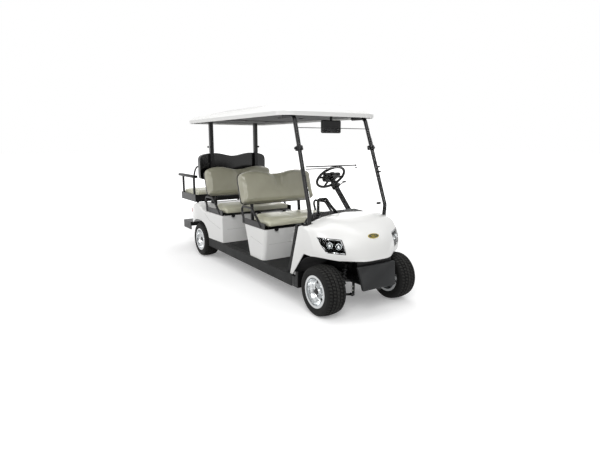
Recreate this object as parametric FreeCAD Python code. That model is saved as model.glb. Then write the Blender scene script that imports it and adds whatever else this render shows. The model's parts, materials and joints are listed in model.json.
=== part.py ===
"""Electric golf cart with three rows of seats: two face forward and one faces back.

Millimetres. +X is forward, +Y is the cart's left, +Z is up. The origin is on the floor, below
the middle of the cart's length and width.
"""
import FreeCAD, Part
import math
import os

Vector = FreeCAD.Vector

# Driving sizes of the whole cart
wheelbase = 2600.0
front_overhang = 272.0
rear_overhang = 890.0
front_track = 846.0
rear_track = 900.0
tyre_diameter = 450.0
frame_drop = 18.0
seat_height = 330.0
roof_height = 1450.0
body_width = 1000.0
panel_wall = 6.0
seat_gap = 0.3
play = 0.05
overrun = 20.0

# Wheels and tyres
tyre_width = 200.0
tyre_tread_width = 168.0
tyre_shoulder_drop = 16.0
tyre_wall = 12.0
rim_diameter = 262.0
rim_lip = 14.0
rim_width = 186.0
rim_wall = 7.0
rim_well_depth = 18.0
rim_well_width = 70.0
rim_dish_depth = 66.0
rim_dish_wall = 11.0
rim_window_radius = 15.0
rim_window_count = 8
rim_window_circle = 86.0
hub_radius = 36.0
hub_cap_radius = 30.0
hub_cap_height = 44.0
spindle_radius = 16.0

# Knuckles, front arms and steering linkage
kingpin_y = 285.0
kingpin_radius = 12.0
knuckle_radius = 26.0
knuckle_height = 104.0
drum_radius = 92.0
drum_depth = 34.0
drum_gap = 8.0
steer_arm_length = 130.0
steer_arm_width = 22.0
steer_arm_thickness = 14.0
steer_eye_radius = 14.0
tie_rod_radius = 9.0
tie_eye_height = 22.0
front_arm_radius = 11.0
front_arm_spread = 85.0
front_arm_boss = 24.0
front_arm_boss_height = 24.0
arm_bush_radius = 14.0
arm_hanger_thickness = 12.0
shock_radius = 34.0
shock_rod_radius = 9.0
shock_foot_y = 220.0
shock_head_y = 165.0
shock_head_rise = 250.0
spring_coil_radius = 7.0
spring_coil_count = 6

# Chassis frame
rail_y = 260.0
rail_width = 44.0
rail_height = 70.0
front_rail_height = 58.0
front_rail_reach = 190.0
front_rail_y = 132.0
front_rail_rise = 64.0
front_rail_start = 395.0
kick_up_rise = 140.0
kick_up_ahead = 470.0
kick_up_run = 110.0
tail_length = 500.0
cross_width = 50.0
outrigger_inset = 38.0
outrigger_height = 26.0
strut_base_rise = 70.0
strut_base_height = 40.0
hitch_spacing = 90.0
hitch_hole_radius = 6.5

# Rear axle and its springs
axle_tube_radius = 34.0
differential_radius = 84.0
differential_width = 150.0
leaf_width = 34.0
leaf_thickness = 16.0
leaf_half_length = 330.0
leaf_rise = 52.0
leaf_eye_radius = 15.0
motor_radius = 92.0
motor_length = 240.0
saddle_height = 10.0

# Floor pan
floor_thickness = 12.0
sill_height = 108.0
sill_thickness = 34.0
sill_overhang = 20.0
floor_start = 475.0
sill_front_set = 366.0
floor_end_ahead = 242.0
mat_thickness = 4.0
mat_inset = 60.0
mat_gap = 30.0
toe_board_run = 66.0
toe_board_rise = 275.0
toe_board_thickness = 14.0
toe_board_inset = 60.0
pillar_width = 40.0
pillar_top_rise = 480.0
pillar_top_set = 292.0

# Front cowl
cowl_rear_set = 233.0
cowl_reach = 238.0
cowl_top_rise = 561.0
cowl_tail_set = 418.0
cowl_tail_foot = 378.0
arch_clearance = 102.0
arch_set_back = 30.0
arch_drop = 24.0
arch_inner_y = 290.0

# Liner under the cowl
liner_wall = 3.0
liner_gap = 4.0
liner_nose_y = 200.0
liner_top_share = 0.45

# Dashboard
dash_depth = 200.0
strut_socket_width = 50.0
strut_socket_height = 90.0
dash_rise = 552.0
dash_front_ahead = 20.0
dash_front_drop = 60.0
dash_rear_set = 419.0
dash_lip = 28.0

# Front bumper and lamps
bumper_top_rise = 158.0
bumper_bottom_drop = 50.0
bumper_top_y = 218.0
bumper_bottom_y = 190.0
bumper_thickness = 34.0
bumper_round = 11.0
bumper_top_set = 46.0
bumper_bracket_width = 34.0
lamp_depth = 120.0
lamp_recess = 3.0
lamp_inner_share = 0.568
lamp_outer_share = 0.944
lamp_top_rise = 411.0
lamp_bottom_rise = 259.0

# Seats
cushion_depth = 500.0
cushion_thickness = 64.0
cushion_taper = 84.0
cushion_cheek = 150.0
cushion_edge = 24.0
cushion_overhang = 12.0
cushion_inset = 50.0
pan_thickness = 26.0
latch_width = 50.0
latch_height = 34.0
latch_depth = 18.0
front_box_set = 940.0
middle_box_ahead = 610.0
box_lean_front = 42.0
box_lean_rear = 115.0
box_depth = 322.0
box_corner = 45.0
back_thickness = 92.0
back_height = 400.0
back_bottom_rise = 210.0
back_lean = 18.0
back_inset = 14.0
middle_back_ahead = 70.0
back_set = 470.0
back_shell_inset = 8.0
back_shell_thickness = 12.0
restraint_radius = 13.0
restraint_inset = 12.0
restraint_flange = 30.0
restraint_flange_thickness = 4.0
restraint_rise = 190.0
restraint_plate = 10.0
restraint_plate_height = 62.0
restraint_tail = 10.0
restraint_bend = 42.0
back_post_set = 98.0
back_post_drop = 60.0
back_post_bend = 50.0
back_post_radius = 19.0
back_post_y = 320.0

# Rear-facing seat
rear_seat_set = 262.0
rear_cushion_thickness = 130.0
rear_pan_length = 560.0
rear_pan_rise = 72.0
rear_pan_height = 100.0
rear_pan_wall = 12.0
rear_back_bottom_rise = 395.0
rear_back_height = 345.0
wrap_wall = 8.0
wrap_depth = 62.0
rear_arm_rise = 400.0
rear_arm_overhang = 60.0
rear_arm_height = 34.0
rear_arm_width = 52.0
rear_leg_radius = 15.0
rear_leg_set = 38.0
rear_leg_y = 440.0
rear_post_radius = 16.0
footrest_depth = 290.0
footrest_rise = 72.0
footrest_inset = 50.0
footrest_thickness = 14.0
footrest_lip = 112.0
footrest_arm = 30.0

# Rear body
rear_body_tail = 345.0
rear_body_rise = 86.0
body_corner = 60.0
tail_foot_rise = 145.0
hatch_set = 60.0
hatch_length = 300.0
hatch_inset = 100.0
strut_clearance = 2.0
rear_arch_clearance = 48.0
rear_fender_flare = 66.0
tail_lamp_inset = 60.0
tail_lamp_rise = 330.0
tail_lamp_height = 70.0
tail_lamp_depth = 40.0
tail_lamp_proud = 4.0

# Canopy
strut_radius = 19.0
strut_foot_set = 184.0
strut_foot_inset = 48.0
strut_foot_rise = 411.0
strut_hole_gap = 1.0
strut_kink_set = 169.0
strut_kink_rise = 606.0
strut_top_set = 466.0
strut_top_inset = 79.0
strut_run_back = 190.0
strut_bend = 60.0
rear_strut_width = 46.0
rear_strut_y = 327.0
rear_strut_set = 22.0
roof_front_set = 415.0
roof_rear_set = 240.0
roof_overhang = 66.0
roof_rim = 38.0
roof_crown = 58.0
roof_corner = 130.0
roof_shoulder = 150.0
roof_step = 10.0
roof_step_inset = 50.0
roof_wall = 7.0
liner_thickness = 10.0
liner_inset = 18.0
windshield_inset = 62.0
windshield_thickness = 5.0
windshield_gap = 8.0
windshield_top_drop = 108.0
windshield_hinge_rise = 978.0
windshield_foot_rise = 562.0
mirror_width = 220.0
mirror_height = 122.0
mirror_depth = 46.0
mirror_corner = 15.0
mirror_set = 445.0
mirror_drop = 50.0
mirror_neck_radius = 12.0

# Controls
steering_inset = 250.0
steering_angle = 45.0
steering_diameter = 344.0
steering_grip = 14.0
steering_centre_set = 790.0
steering_centre_rise = 845.0
steering_hub_radius = 62.0
steering_hub_depth = 38.0
column_radius = 26.0
column_reach = 60.0
spoke_angles = (90.0, 180.0, 270.0)
spoke_share = 0.8
stalk_share = 0.20
stalk_lean_share = 0.45
pedal_shares = (-0.5, 0.5)
stalk_radius = 5.0
stalk_length = 120.0
pedal_width = 70.0
pedal_height = 110.0
pedal_thickness = 12.0
pedal_spread = 150.0
pedal_set = 70.0
pedal_lean = 60.0
handle_radius = 14.0
handle_height = 128.0
handle_top_length = 92.0
handle_shoulder_height = 66.0
handle_shoulder_length = 140.0
handle_length = 235.0
handle_set = 40.0
handle_inset = 292.0
handle_bend = 24.0
dash_handle_sink = 30.0

# Battery block
battery_gap = 12.0
battery_depth = 330.0
battery_inset = 120.0
battery_height = 190.0

# Places that follow from the sizes
overall_length = wheelbase + front_overhang + rear_overhang
front_x = overall_length / 2 - front_overhang
rear_x = front_x - wheelbase
axle_z = tyre_diameter / 2
frame_bottom_z = axle_z - frame_drop
rail_top_z = frame_bottom_z + rail_height
floor_z = rail_top_z + seat_gap + floor_thickness
seat_z = floor_z + seat_height
roof_z = floor_z + roof_height
body_y = body_width / 2
outrigger_y = body_y - outrigger_inset
sill_y = body_y + sill_overhang
toe_board_y = body_y - toe_board_inset
cushion_y = body_y - cushion_inset
back_y = body_y - back_inset
restraint_y = body_y - restraint_inset
hatch_y = body_y - hatch_inset
rear_fender_y = body_y + rear_fender_flare
strut_foot_y = body_y - strut_foot_inset
strut_top_y = body_y - strut_top_inset
roof_y = body_y + roof_overhang
windshield_y = body_y - windshield_inset
steering_y = body_y - steering_inset
handle_y = body_y - handle_inset
strut_x = rear_x - rear_strut_set
strut_base_z = rail_top_z + kick_up_rise + strut_base_rise + strut_base_height
front_box_x = front_x - front_box_set
middle_box_x = rear_x + middle_box_ahead
dash_y = toe_board_y - seat_gap
leaf_y = rail_y + rail_width / 2 - arm_hanger_thickness - seat_gap - leaf_width
leaf_z = axle_z + axle_tube_radius + saddle_height + leaf_thickness / 2

# Half of the cowl as seen from the side at places across the cart. Each row has its share of the
# half width, then (reach, rise) shares of the nose's reach and of the top's rise above the floor.
cowl_station_shares = (
    (0.00, ((-0.98, 1.000), (-0.13, 0.911), (0.42, 0.799),
            (0.70, 0.709), (0.895, 0.554), (0.99, 0.357))),
    (0.30, ((-0.93, 0.990), (-0.13, 0.905), (0.38, 0.795),
            (0.66, 0.697), (0.840, 0.545), (0.93, 0.358))),
    (0.58, ((-0.86, 0.968), (-0.21, 0.897), (0.17, 0.781),
            (0.38, 0.683), (0.567, 0.519), (0.56, 0.367))),
    (0.84, ((-0.76, 0.920), (-0.42, 0.879), (-0.17, 0.831),
            (0.04, 0.733), (0.231, 0.554), (0.23, 0.385))),
    (0.96, ((-0.93, 0.872), (-0.62, 0.860), (-0.40, 0.822),
            (-0.21, 0.735), (-0.04, 0.570), (-0.08, 0.408))),
    (1.00, ((-1.16, 0.830), (-0.80, 0.818), (-0.59, 0.786),
            (-0.38, 0.715), (-0.21, 0.572), (-0.25, 0.417))),
)

# The dash at places across the cart: shares of its half width, its depth and its height.
dash_station_shares = ((0.0, 1.0, 1.0), (0.62, 1.0, 1.0), (0.85, 0.58, 0.94), (1.0, 0.32, 0.90))

# A headlamp seen from the front: shares from its inner end to its outer tip, and from foot to top.
lamp_outline_shares = ((0.0, 0.0), (0.78, 0.14), (0.93, 0.54), (1.0, 1.0), (0.04, 0.84))

# The rear body from front to tail: shares of its length, of the fender's flare, of its rise behind
# the seat and of its corner radius.
rear_body_shares = ((0.0, 0.0, 0.0, 0.25), (0.53, 0.50, 0.0, 0.25), (0.58, 0.66, 0.40, 0.4),
                    (0.64, 0.82, 0.80, 0.55), (0.72, 0.95, 1.0, 0.75), (0.82, 0.90, 0.88, 0.9),
                    (0.92, 0.55, 0.50, 1.0), (1.0, 0.0, -0.05, 1.0))

# The hip restraint's tube: shares of the seat's depth and of the restraint's rise. Posts of the rear arms.
restraint_shares = ((0.93, 0.06), (1.08, 0.98), (0.58, 1.0), (0.16, 0.10))
rear_post_shares = (0.13, 0.89)
post_reach_shares = (0.12, 0.55)

# The roof's shoulder, as shares of its rise and of its run in from the rim.
roof_shoulder_shares = ((0.58, 0.30), (0.86, 0.62), (1.0, 1.0))

# A backrest seen square on: (half width, height) shares, from the end of its foot up to its dip.
back_outline_shares = ((0.84, 0.0), (0.93, 0.012), (0.985, 0.06), (1.0, 0.15), (1.0, 0.45), (1.0, 0.72),
                       (0.975, 0.86), (0.88, 0.945), (0.74, 0.985), (0.58, 1.0), (0.42, 0.985),
                       (0.26, 0.94), (0.12, 0.90), (0.0, 0.888))


def block(x0, x1, y0, y1, z0, z1):
    """A box between two corners, given in any order."""
    low = Vector(min(x0, x1), min(y0, y1), min(z0, z1))
    return Part.makeBox(abs(x1 - x0), abs(y1 - y0), abs(z1 - z0), low)


def bar(start, end, radius):
    """A round bar from one point to another."""
    run = end - start
    return Part.makeCylinder(radius, run.Length, start, run)


def flat_solid(points, sweep):
    """A solid swept from a flat outline of straight edges."""
    wire = Part.makePolygon(points + [points[0]])
    return Part.Face(wire).extrude(sweep)


def side_prism(outline, y0, y1):
    """A solid whose outline is seen from the side: outline holds (x, z) pairs."""
    points = [Vector(x, y0, z) for x, z in outline]
    return flat_solid(points, Vector(0, y1 - y0, 0))


def mirrored(shape):
    """The same piece on the other side of the cart."""
    return shape.mirror(Vector(0, 0, 0), Vector(0, 1, 0))


def joined(shapes):
    """One solid from pieces that touch or overlap."""
    whole = shapes[0].fuse(shapes[1:]) if len(shapes) > 1 else shapes[0]
    return whole.removeSplitter()


def apart(shapes):
    """Solids of one node that don't touch each other."""
    return Part.makeCompound(shapes)


def bent_tube(points, radius, bend):
    """A round tube along straight runs joined by tangent arcs."""
    edges = []
    start = points[0]
    for before, corner, after in zip(points, points[1:], points[2:]):
        inward = (before - corner).normalize()
        outward = (after - corner).normalize()
        half_turn = (math.pi - inward.getAngle(outward)) / 2
        setback = bend * math.tan(half_turn)
        entry = corner + inward * setback
        leave = corner + outward * setback
        middle_line = (inward + outward).normalize()
        middle = corner + middle_line * (bend / math.cos(half_turn) - bend)
        edges.append(Part.LineSegment(start, entry).toShape())
        edges.append(Part.Arc(entry, middle, leave).toShape())
        start = leave
    edges.append(Part.LineSegment(start, points[-1]).toShape())
    path = Part.Wire(edges)
    circle = Part.Circle(points[0], points[1] - points[0], radius)
    section = Part.Wire([circle.toShape()])
    return path.makePipeShell([section], True, False)


def rounded_outline(half_x, half_y, corner, centre):
    """A level rectangle with round corners, as a wire."""
    right = Vector(1, 0, 0)
    ahead = Vector(0, 1, 0)
    diagonal = corner * math.sqrt(0.5)
    edges = []
    arcs = []
    for turn in range(4):
        spot = centre + right * (half_x if turn in (0, 3) else -half_x)
        spot = spot + ahead * (half_y if turn in (0, 1) else -half_y)
        sign_x = -1 if turn in (0, 3) else 1
        sign_y = -1 if turn in (0, 1) else 1
        middle = spot + right * (sign_x * corner) + ahead * (sign_y * corner)
        on_x = middle - ahead * (sign_y * corner)
        on_y = middle - right * (sign_x * corner)
        bow = middle - right * (sign_x * diagonal) - ahead * (sign_y * diagonal)
        pair = (on_y, bow, on_x) if turn in (0, 2) else (on_x, bow, on_y)
        arcs.append(pair)
    for index, (start, bow, end) in enumerate(arcs):
        edges.append(Part.Arc(start, bow, end).toShape())
        following = arcs[(index + 1) % len(arcs)][0]
        edges.append(Part.LineSegment(end, following).toShape())
    return Part.Wire(edges)


def turned(section, axis_point, axis):
    """A solid turned round an axis from a flat section of straight edges."""
    wire = Part.makePolygon(section + [section[0]])
    return Part.Face(wire).revolve(axis_point, axis, 360)


def wheel_at(shape, x, side, track):
    """A wheel piece moved from the origin to its axle, its outer face away from the cart."""
    placed = shape.copy() if side > 0 else mirrored(shape)
    placed.translate(Vector(x, side * track / 2, axle_z))
    return placed


def tyre():
    """The tyre's ring, with its hollow, about the Y axis."""
    outer = tyre_diameter / 2
    bead = rim_diameter / 2
    wide = tyre_width / 2
    tread = tyre_tread_width / 2
    seat = rim_width / 2 - rim_lip / 2 - seat_gap
    shoulder = outer - tyre_shoulder_drop
    middle = (bead + shoulder) / 2
    edges = [
        Part.Arc(Vector(0, -tread, shoulder), Vector(0, 0, outer), Vector(0, tread, shoulder)).toShape(),
        Part.Arc(Vector(0, tread, shoulder), Vector(0, wide, middle), Vector(0, seat, bead)).toShape(),
        Part.makeLine(Vector(0, seat, bead), Vector(0, seat - tyre_wall, bead)),
        Part.Arc(Vector(0, seat - tyre_wall, bead), Vector(0, wide - tyre_wall, middle),
                 Vector(0, tread - tyre_wall, shoulder - tyre_wall)).toShape(),
        Part.makeLine(Vector(0, tread - tyre_wall, shoulder - tyre_wall),
                      Vector(0, tyre_wall - tread, shoulder - tyre_wall)),
        Part.Arc(Vector(0, tyre_wall - tread, shoulder - tyre_wall), Vector(0, tyre_wall - wide, middle),
                 Vector(0, tyre_wall - seat, bead)).toShape(),
        Part.makeLine(Vector(0, tyre_wall - seat, bead), Vector(0, -seat, bead)),
        Part.Arc(Vector(0, -seat, bead), Vector(0, -wide, middle), Vector(0, -tread, shoulder)).toShape(),
    ]
    carcass = Part.Face(Part.Wire(edges)).revolve(Vector(0, 0, 0), Vector(0, 1, 0), 360)
    for side in (-1, 1):
        lip_room = Part.makeCylinder(rim_diameter / 2 + rim_lip + seat_gap, tyre_width,
                                     Vector(0, side * seat, 0), Vector(0, side, 0))
        carcass = carcass.cut(lip_room)
    return carcass


def rim():
    """The alloy rim about the Y axis, its dish towards +Y, bored for the spindle."""
    bead = rim_diameter / 2
    edge = rim_width / 2
    lip = bead + rim_lip
    well = bead - rim_well_depth
    inner_well = well - rim_wall
    inner = bead - rim_wall
    half_well = rim_well_width / 2
    section = [Vector(0, y, r) for y, r in (
        (-edge, lip), (-edge, inner), (-half_well - rim_well_depth, inner), (-half_well, inner_well),
        (half_well, inner_well), (half_well + rim_well_depth, inner), (edge, inner), (edge, lip),
        (edge - rim_lip / 2, lip), (edge - rim_lip / 2, bead), (half_well + rim_well_depth, bead),
        (half_well, well), (-half_well, well), (-half_well - rim_well_depth, bead),
        (rim_lip / 2 - edge, bead), (rim_lip / 2 - edge, lip))]
    barrel = turned(section, Vector(0, 0, 0), Vector(0, 1, 0))
    face = edge - rim_dish_depth
    bore = spindle_radius + play
    dish = turned([Vector(0, y, r) for y, r in (
        (face, bore), (face, hub_radius), (face - rim_dish_wall, hub_radius + rim_dish_wall),
        (face - rim_dish_wall, inner_well - rim_dish_wall),
        (face - rim_dish_wall / 2, inner_well + rim_wall / 2),
        (face - 2 * rim_dish_wall, inner_well + rim_wall / 2), (face - 2 * rim_dish_wall, hub_radius),
        (-edge / 2, hub_radius), (-edge / 2, bore))], Vector(0, 0, 0), Vector(0, 1, 0))
    for index in range(rim_window_count):
        angle = 2 * math.pi * index / rim_window_count
        spot = Vector(rim_window_circle * math.cos(angle), 0, rim_window_circle * math.sin(angle))
        dish = dish.cut(Part.makeCylinder(rim_window_radius, edge, spot, Vector(0, 1, 0)))
    cap = turned([Vector(0, y, r) for y, r in (
        (face, bore), (face, hub_cap_radius), (face + hub_cap_height / 2, hub_cap_radius),
        (face + hub_cap_height, hub_cap_radius / 2), (face + hub_cap_height, 0),
        (face + hub_cap_height / 2, 0), (face + hub_cap_height / 2, bore))],
        Vector(0, 0, 0), Vector(0, 1, 0))
    return joined([barrel, dish, cap])


def spindle_tip():
    """How far out from a wheel's middle plane its spindle reaches."""
    return rim_width / 2 - rim_dish_depth + hub_cap_height / 2 - play


def brake_drum(side, x, centre_y):
    """The brake drum's back plate inside a rim, with the spindle that carries the hub."""
    inner_edge = centre_y - rim_width / 2
    back = Vector(x, side * (inner_edge + drum_gap), axle_z)
    drum = Part.makeCylinder(drum_radius, drum_depth, back, Vector(0, side, 0))
    tip = Vector(x, side * (centre_y + spindle_tip()), axle_z)
    return joined([drum, bar(back, tip, spindle_radius)])


def knuckle(side):
    """A steering knuckle: kingpin barrel, spindle, drum and steering arm."""
    foot = Vector(front_x, side * kingpin_y, axle_z - knuckle_height / 2)
    barrel = Part.makeCylinder(knuckle_radius, knuckle_height, foot, Vector(0, 0, 1))
    seat_y = side * (front_track / 2 - rim_width / 2 + drum_gap)
    carrier = bar(Vector(front_x, side * kingpin_y, axle_z), Vector(front_x, seat_y, axle_z),
                  knuckle_radius)
    arm_low = axle_z - steer_arm_thickness / 2
    arm = block(front_x - steer_arm_length, front_x, side * kingpin_y - steer_arm_width / 2,
                side * kingpin_y + steer_arm_width / 2, arm_low, arm_low + steer_arm_thickness)
    eye = Part.makeCylinder(steer_eye_radius, steer_arm_thickness,
                            Vector(front_x - steer_arm_length, side * kingpin_y, arm_low), Vector(0, 0, 1))
    whole = joined([barrel, carrier, arm, eye, brake_drum(side, front_x, front_track / 2)])
    bore = Part.makeCylinder(kingpin_radius + play, knuckle_height, foot, Vector(0, 0, 1))
    return whole.cut(bore)


def tie_rod():
    """The rod that joins the two steering arms, with an eye on each end."""
    z = axle_z + steer_arm_thickness / 2 + seat_gap
    x = front_x - steer_arm_length
    middle = z + tie_eye_height / 2
    rod = bar(Vector(x, -kingpin_y, middle), Vector(x, kingpin_y, middle), tie_rod_radius)
    eyes = []
    for side in (-1, 1):
        foot = Vector(x, side * kingpin_y, z)
        eyes.append(Part.makeCylinder(steer_eye_radius, tie_eye_height, foot, Vector(0, 0, 1)))
    return joined([rod] + eyes)


def shock_cap_z():
    """The top of the leaning shock absorber's rod."""
    line = math.hypot(shock_foot_y - shock_head_y, shock_head_rise)
    tilt_rise = shock_rod_radius * (shock_foot_y - shock_head_y) / line
    return axle_z - knuckle_height / 2 - seat_gap + shock_head_rise + tilt_rise


def ribbed_shock(side):
    """A shock absorber in its coil, from the lower arm up to its tower."""
    foot = Vector(front_x, side * shock_foot_y, axle_z - knuckle_height / 2 - seat_gap)
    head = Vector(front_x, side * shock_head_y, foot.z + shock_head_rise)
    line = head - foot
    pitch = line.Length / (spring_coil_count + 2)
    core = shock_radius - 2 * spring_coil_radius
    section = [Vector(0, 0, 0), Vector(shock_rod_radius, 0, 0), Vector(shock_rod_radius, 0, pitch)]
    for index in range(spring_coil_count):
        z = pitch * (index + 1)
        section.append(Vector(core, 0, z))
        section.append(Vector(shock_radius, 0, z + pitch / 2))
    section.append(Vector(core, 0, pitch * (spring_coil_count + 1)))
    section.append(Vector(shock_rod_radius, 0, pitch * (spring_coil_count + 1)))
    section.append(Vector(shock_rod_radius, 0, line.Length))
    section.append(Vector(0, 0, line.Length))
    upright = turned(section, Vector(0, 0, 0), Vector(0, 0, 1))
    upright.Placement = FreeCAD.Placement(foot, FreeCAD.Rotation(Vector(0, 0, 1), line))
    return upright


def front_suspension():
    """Lower and upper arms with their kingpin, and a coil shock absorber, on each side."""
    low_z = axle_z - knuckle_height / 2 - seat_gap
    high_z = axle_z + knuckle_height / 2 + seat_gap
    root_y = front_rail_y + rail_width / 2 + seat_gap + arm_bush_radius
    up = Vector(0, 0, 1)
    pieces = []
    for side in (-1, 1):
        pivot = Vector(front_x, side * kingpin_y, low_z - front_arm_boss_height)
        low_boss = Part.makeCylinder(front_arm_boss, front_arm_boss_height, pivot, up)
        high_foot = Vector(front_x, side * kingpin_y, high_z)
        high_boss = Part.makeCylinder(front_arm_boss, front_arm_boss_height, high_foot, up)
        pin = bar(pivot, high_foot + up * front_arm_boss_height, kingpin_radius)
        beam = block(front_x - front_arm_spread / 2, front_x + front_arm_spread / 2,
                     side * (shock_foot_y - front_arm_boss / 2), side * (shock_foot_y + front_arm_boss / 2),
                     low_z - front_arm_boss_height, low_z)
        arms = []
        for shift in (-front_arm_spread, front_arm_spread):
            for z in (low_z - front_arm_boss_height / 2, high_z + front_arm_boss_height / 2):
                root = Vector(front_x + shift, side * root_y, z)
                half = Vector(arm_bush_radius, 0, 0)
                arms.append(bar(root, Vector(front_x, side * kingpin_y, z), front_arm_radius))
                arms.append(bar(root - half, root + half, arm_bush_radius))
        pieces.append(joined([low_boss, high_boss, pin, beam, ribbed_shock(side)] + arms))
    return apart(pieces)


def rail_outline():
    """A main rail seen from the side, with its kick-up over the rear axle."""
    low = frame_bottom_z
    high = low + rail_height
    front = front_x - front_rail_start
    bend = rear_x + kick_up_ahead
    tail = rear_x - tail_length
    return [(front, low), (front, high), (bend, high), (bend - kick_up_run, high + kick_up_rise),
            (tail, high + kick_up_rise), (tail, low + kick_up_rise), (bend - kick_up_run, low + kick_up_rise),
            (bend, low)]


def chassis_frame():
    """The ladder frame: rails, crossmembers, outriggers, front rails and the rear strut base."""
    low = frame_bottom_z
    high = low + rail_height
    inner = rail_y - rail_width / 2
    outer = rail_y + rail_width / 2
    front_low = low + front_rail_rise
    front_high = front_low + front_rail_height
    pieces = []
    for side in (-1, 1):
        pieces.append(side_prism(rail_outline(), side * inner, side * outer))
        pieces.append(block(front_x - front_rail_start - cross_width, front_x + front_rail_reach,
                            side * (front_rail_y - rail_width / 2), side * (front_rail_y + rail_width / 2),
                            front_low, front_high))
        for shift in (-front_arm_spread, front_arm_spread):
            hanger_x = front_x + shift
            pieces.append(block(hanger_x - arm_hanger_thickness, hanger_x + arm_hanger_thickness,
                                side * (front_rail_y + rail_width / 2 - arm_hanger_thickness),
                                side * (front_rail_y + rail_width / 2),
                                axle_z - knuckle_height / 2 - front_arm_boss_height, front_low))
        for x in outrigger_places():
            pieces.append(block(x - cross_width / 2, x + cross_width / 2, side * outer, side * outrigger_y,
                                high - outrigger_height, high))
        head = shock_cap_z()
        pieces.append(block(front_x - front_arm_boss, front_x + front_arm_boss,
                            side * (front_rail_y - rail_width / 2), side * (front_rail_y - rail_width / 2
                                                                            + arm_hanger_thickness),
                            front_high, head + seat_gap))
        pieces.append(block(front_x - front_arm_boss, front_x + front_arm_boss,
                            side * (front_rail_y - rail_width / 2), side * (shock_head_y + shock_radius),
                            head + seat_gap, head + seat_gap + arm_hanger_thickness))
        post_high = high + kick_up_rise + strut_base_rise
        pieces.append(block(strut_x - cross_width / 2, strut_x + cross_width / 2, side * inner, side * outer,
                            high + kick_up_rise, post_high))
        eye_z = leaf_z + leaf_rise
        for shift in (-leaf_half_length, leaf_half_length):
            pieces.append(block(rear_x + shift - leaf_eye_radius, rear_x + shift + leaf_eye_radius,
                                side * (outer - arm_hanger_thickness), side * outer,
                                eye_z - leaf_eye_radius, low + kick_up_rise))
    cross_x = front_x - front_rail_start
    pieces.append(block(cross_x - cross_width, cross_x, -outer, outer, low, front_high))
    for x in outrigger_places():
        low_edge = high - outrigger_height
        pieces.append(block(x - cross_width / 2, x + cross_width / 2, -inner, inner, low_edge, high))
    base = high + kick_up_rise + strut_base_rise
    reach = rear_strut_y + rear_strut_width / 2
    pieces.append(block(strut_x - cross_width / 2, strut_x + cross_width / 2, -reach, reach,
                        base, base + strut_base_height))
    tail = rear_x - tail_length
    pieces.append(block(tail, tail + cross_width, -outer, outer, low + kick_up_rise, high + kick_up_rise))
    nose = front_x + front_rail_reach
    pieces.append(block(nose - cross_width, nose, -front_rail_y, front_rail_y, front_low, front_high))
    frame = joined(pieces)
    for side in (-1, 1):
        spot = Vector(tail - overrun, side * hitch_spacing / 2, low + kick_up_rise + rail_height / 2)
        frame = frame.cut(bar(spot, spot + Vector(cross_width + 2 * overrun, 0, 0), hitch_hole_radius))
    return frame


def outrigger_places():
    """Where the crossmembers and outriggers stand along the cart."""
    first = front_x - front_box_set - cross_width
    last = rear_x + kick_up_ahead + cross_width
    return [first, first - box_depth, last]


def rear_axle():
    """Axle tube, differential, drums and leaf springs, with the spindles of the rear wheels."""
    reach = rear_track / 2 - rim_width / 2 + drum_gap
    pieces = [bar(Vector(rear_x, -reach, axle_z), Vector(rear_x, reach, axle_z), axle_tube_radius)]
    pieces.append(bar(Vector(rear_x, -differential_width / 2, axle_z),
                      Vector(rear_x, differential_width / 2, axle_z), differential_radius))
    for side in (-1, 1):
        pieces.append(brake_drum(side, rear_x, rear_track / 2))
        pieces.append(block(rear_x - axle_tube_radius, rear_x + axle_tube_radius,
                            side * leaf_y, side * (leaf_y + leaf_width), axle_z, leaf_z))
        middle = leaf_z
        half = leaf_thickness / 2
        y = side * leaf_y
        ends = [Vector(rear_x - leaf_half_length, y, middle + leaf_rise),
                Vector(rear_x + leaf_half_length, y, middle + leaf_rise)]
        drop = Vector(0, 0, half)
        upper = Part.Arc(ends[0] + drop, Vector(rear_x, y, middle + half), ends[1] + drop).toShape()
        lower = Part.Arc(ends[1] - drop, Vector(rear_x, y, middle - half), ends[0] - drop).toShape()
        sides = [Part.makeLine(ends[1] + drop, ends[1] - drop),
                 Part.makeLine(ends[0] - drop, ends[0] + drop)]
        face = Part.Face(Part.Wire([upper, sides[0], lower, sides[1]]))
        pieces.append(face.extrude(Vector(0, side * leaf_width, 0)))
        for end in ends:
            pieces.append(bar(end, end + Vector(0, side * leaf_width, 0), leaf_eye_radius))
    return joined(pieces)


def drive_motor():
    """The electric motor, one closed block beside the differential."""
    x = rear_x + differential_radius + seat_gap + motor_radius
    return bar(Vector(x, -motor_length / 2, axle_z), Vector(x, motor_length / 2, axle_z), motor_radius)


def battery_pack():
    """The batteries under the middle seat, as one plain block."""
    front = rear_x + middle_box_ahead - panel_wall - battery_gap
    low = battery_foot_z()
    half_y = body_y - battery_inset
    return block(front - battery_depth, front, -half_y, half_y, low, low + battery_height)


def battery_foot_z():
    """The battery stands on the kicked-up rails."""
    return frame_bottom_z + rail_height + kick_up_rise + seat_gap


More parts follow.
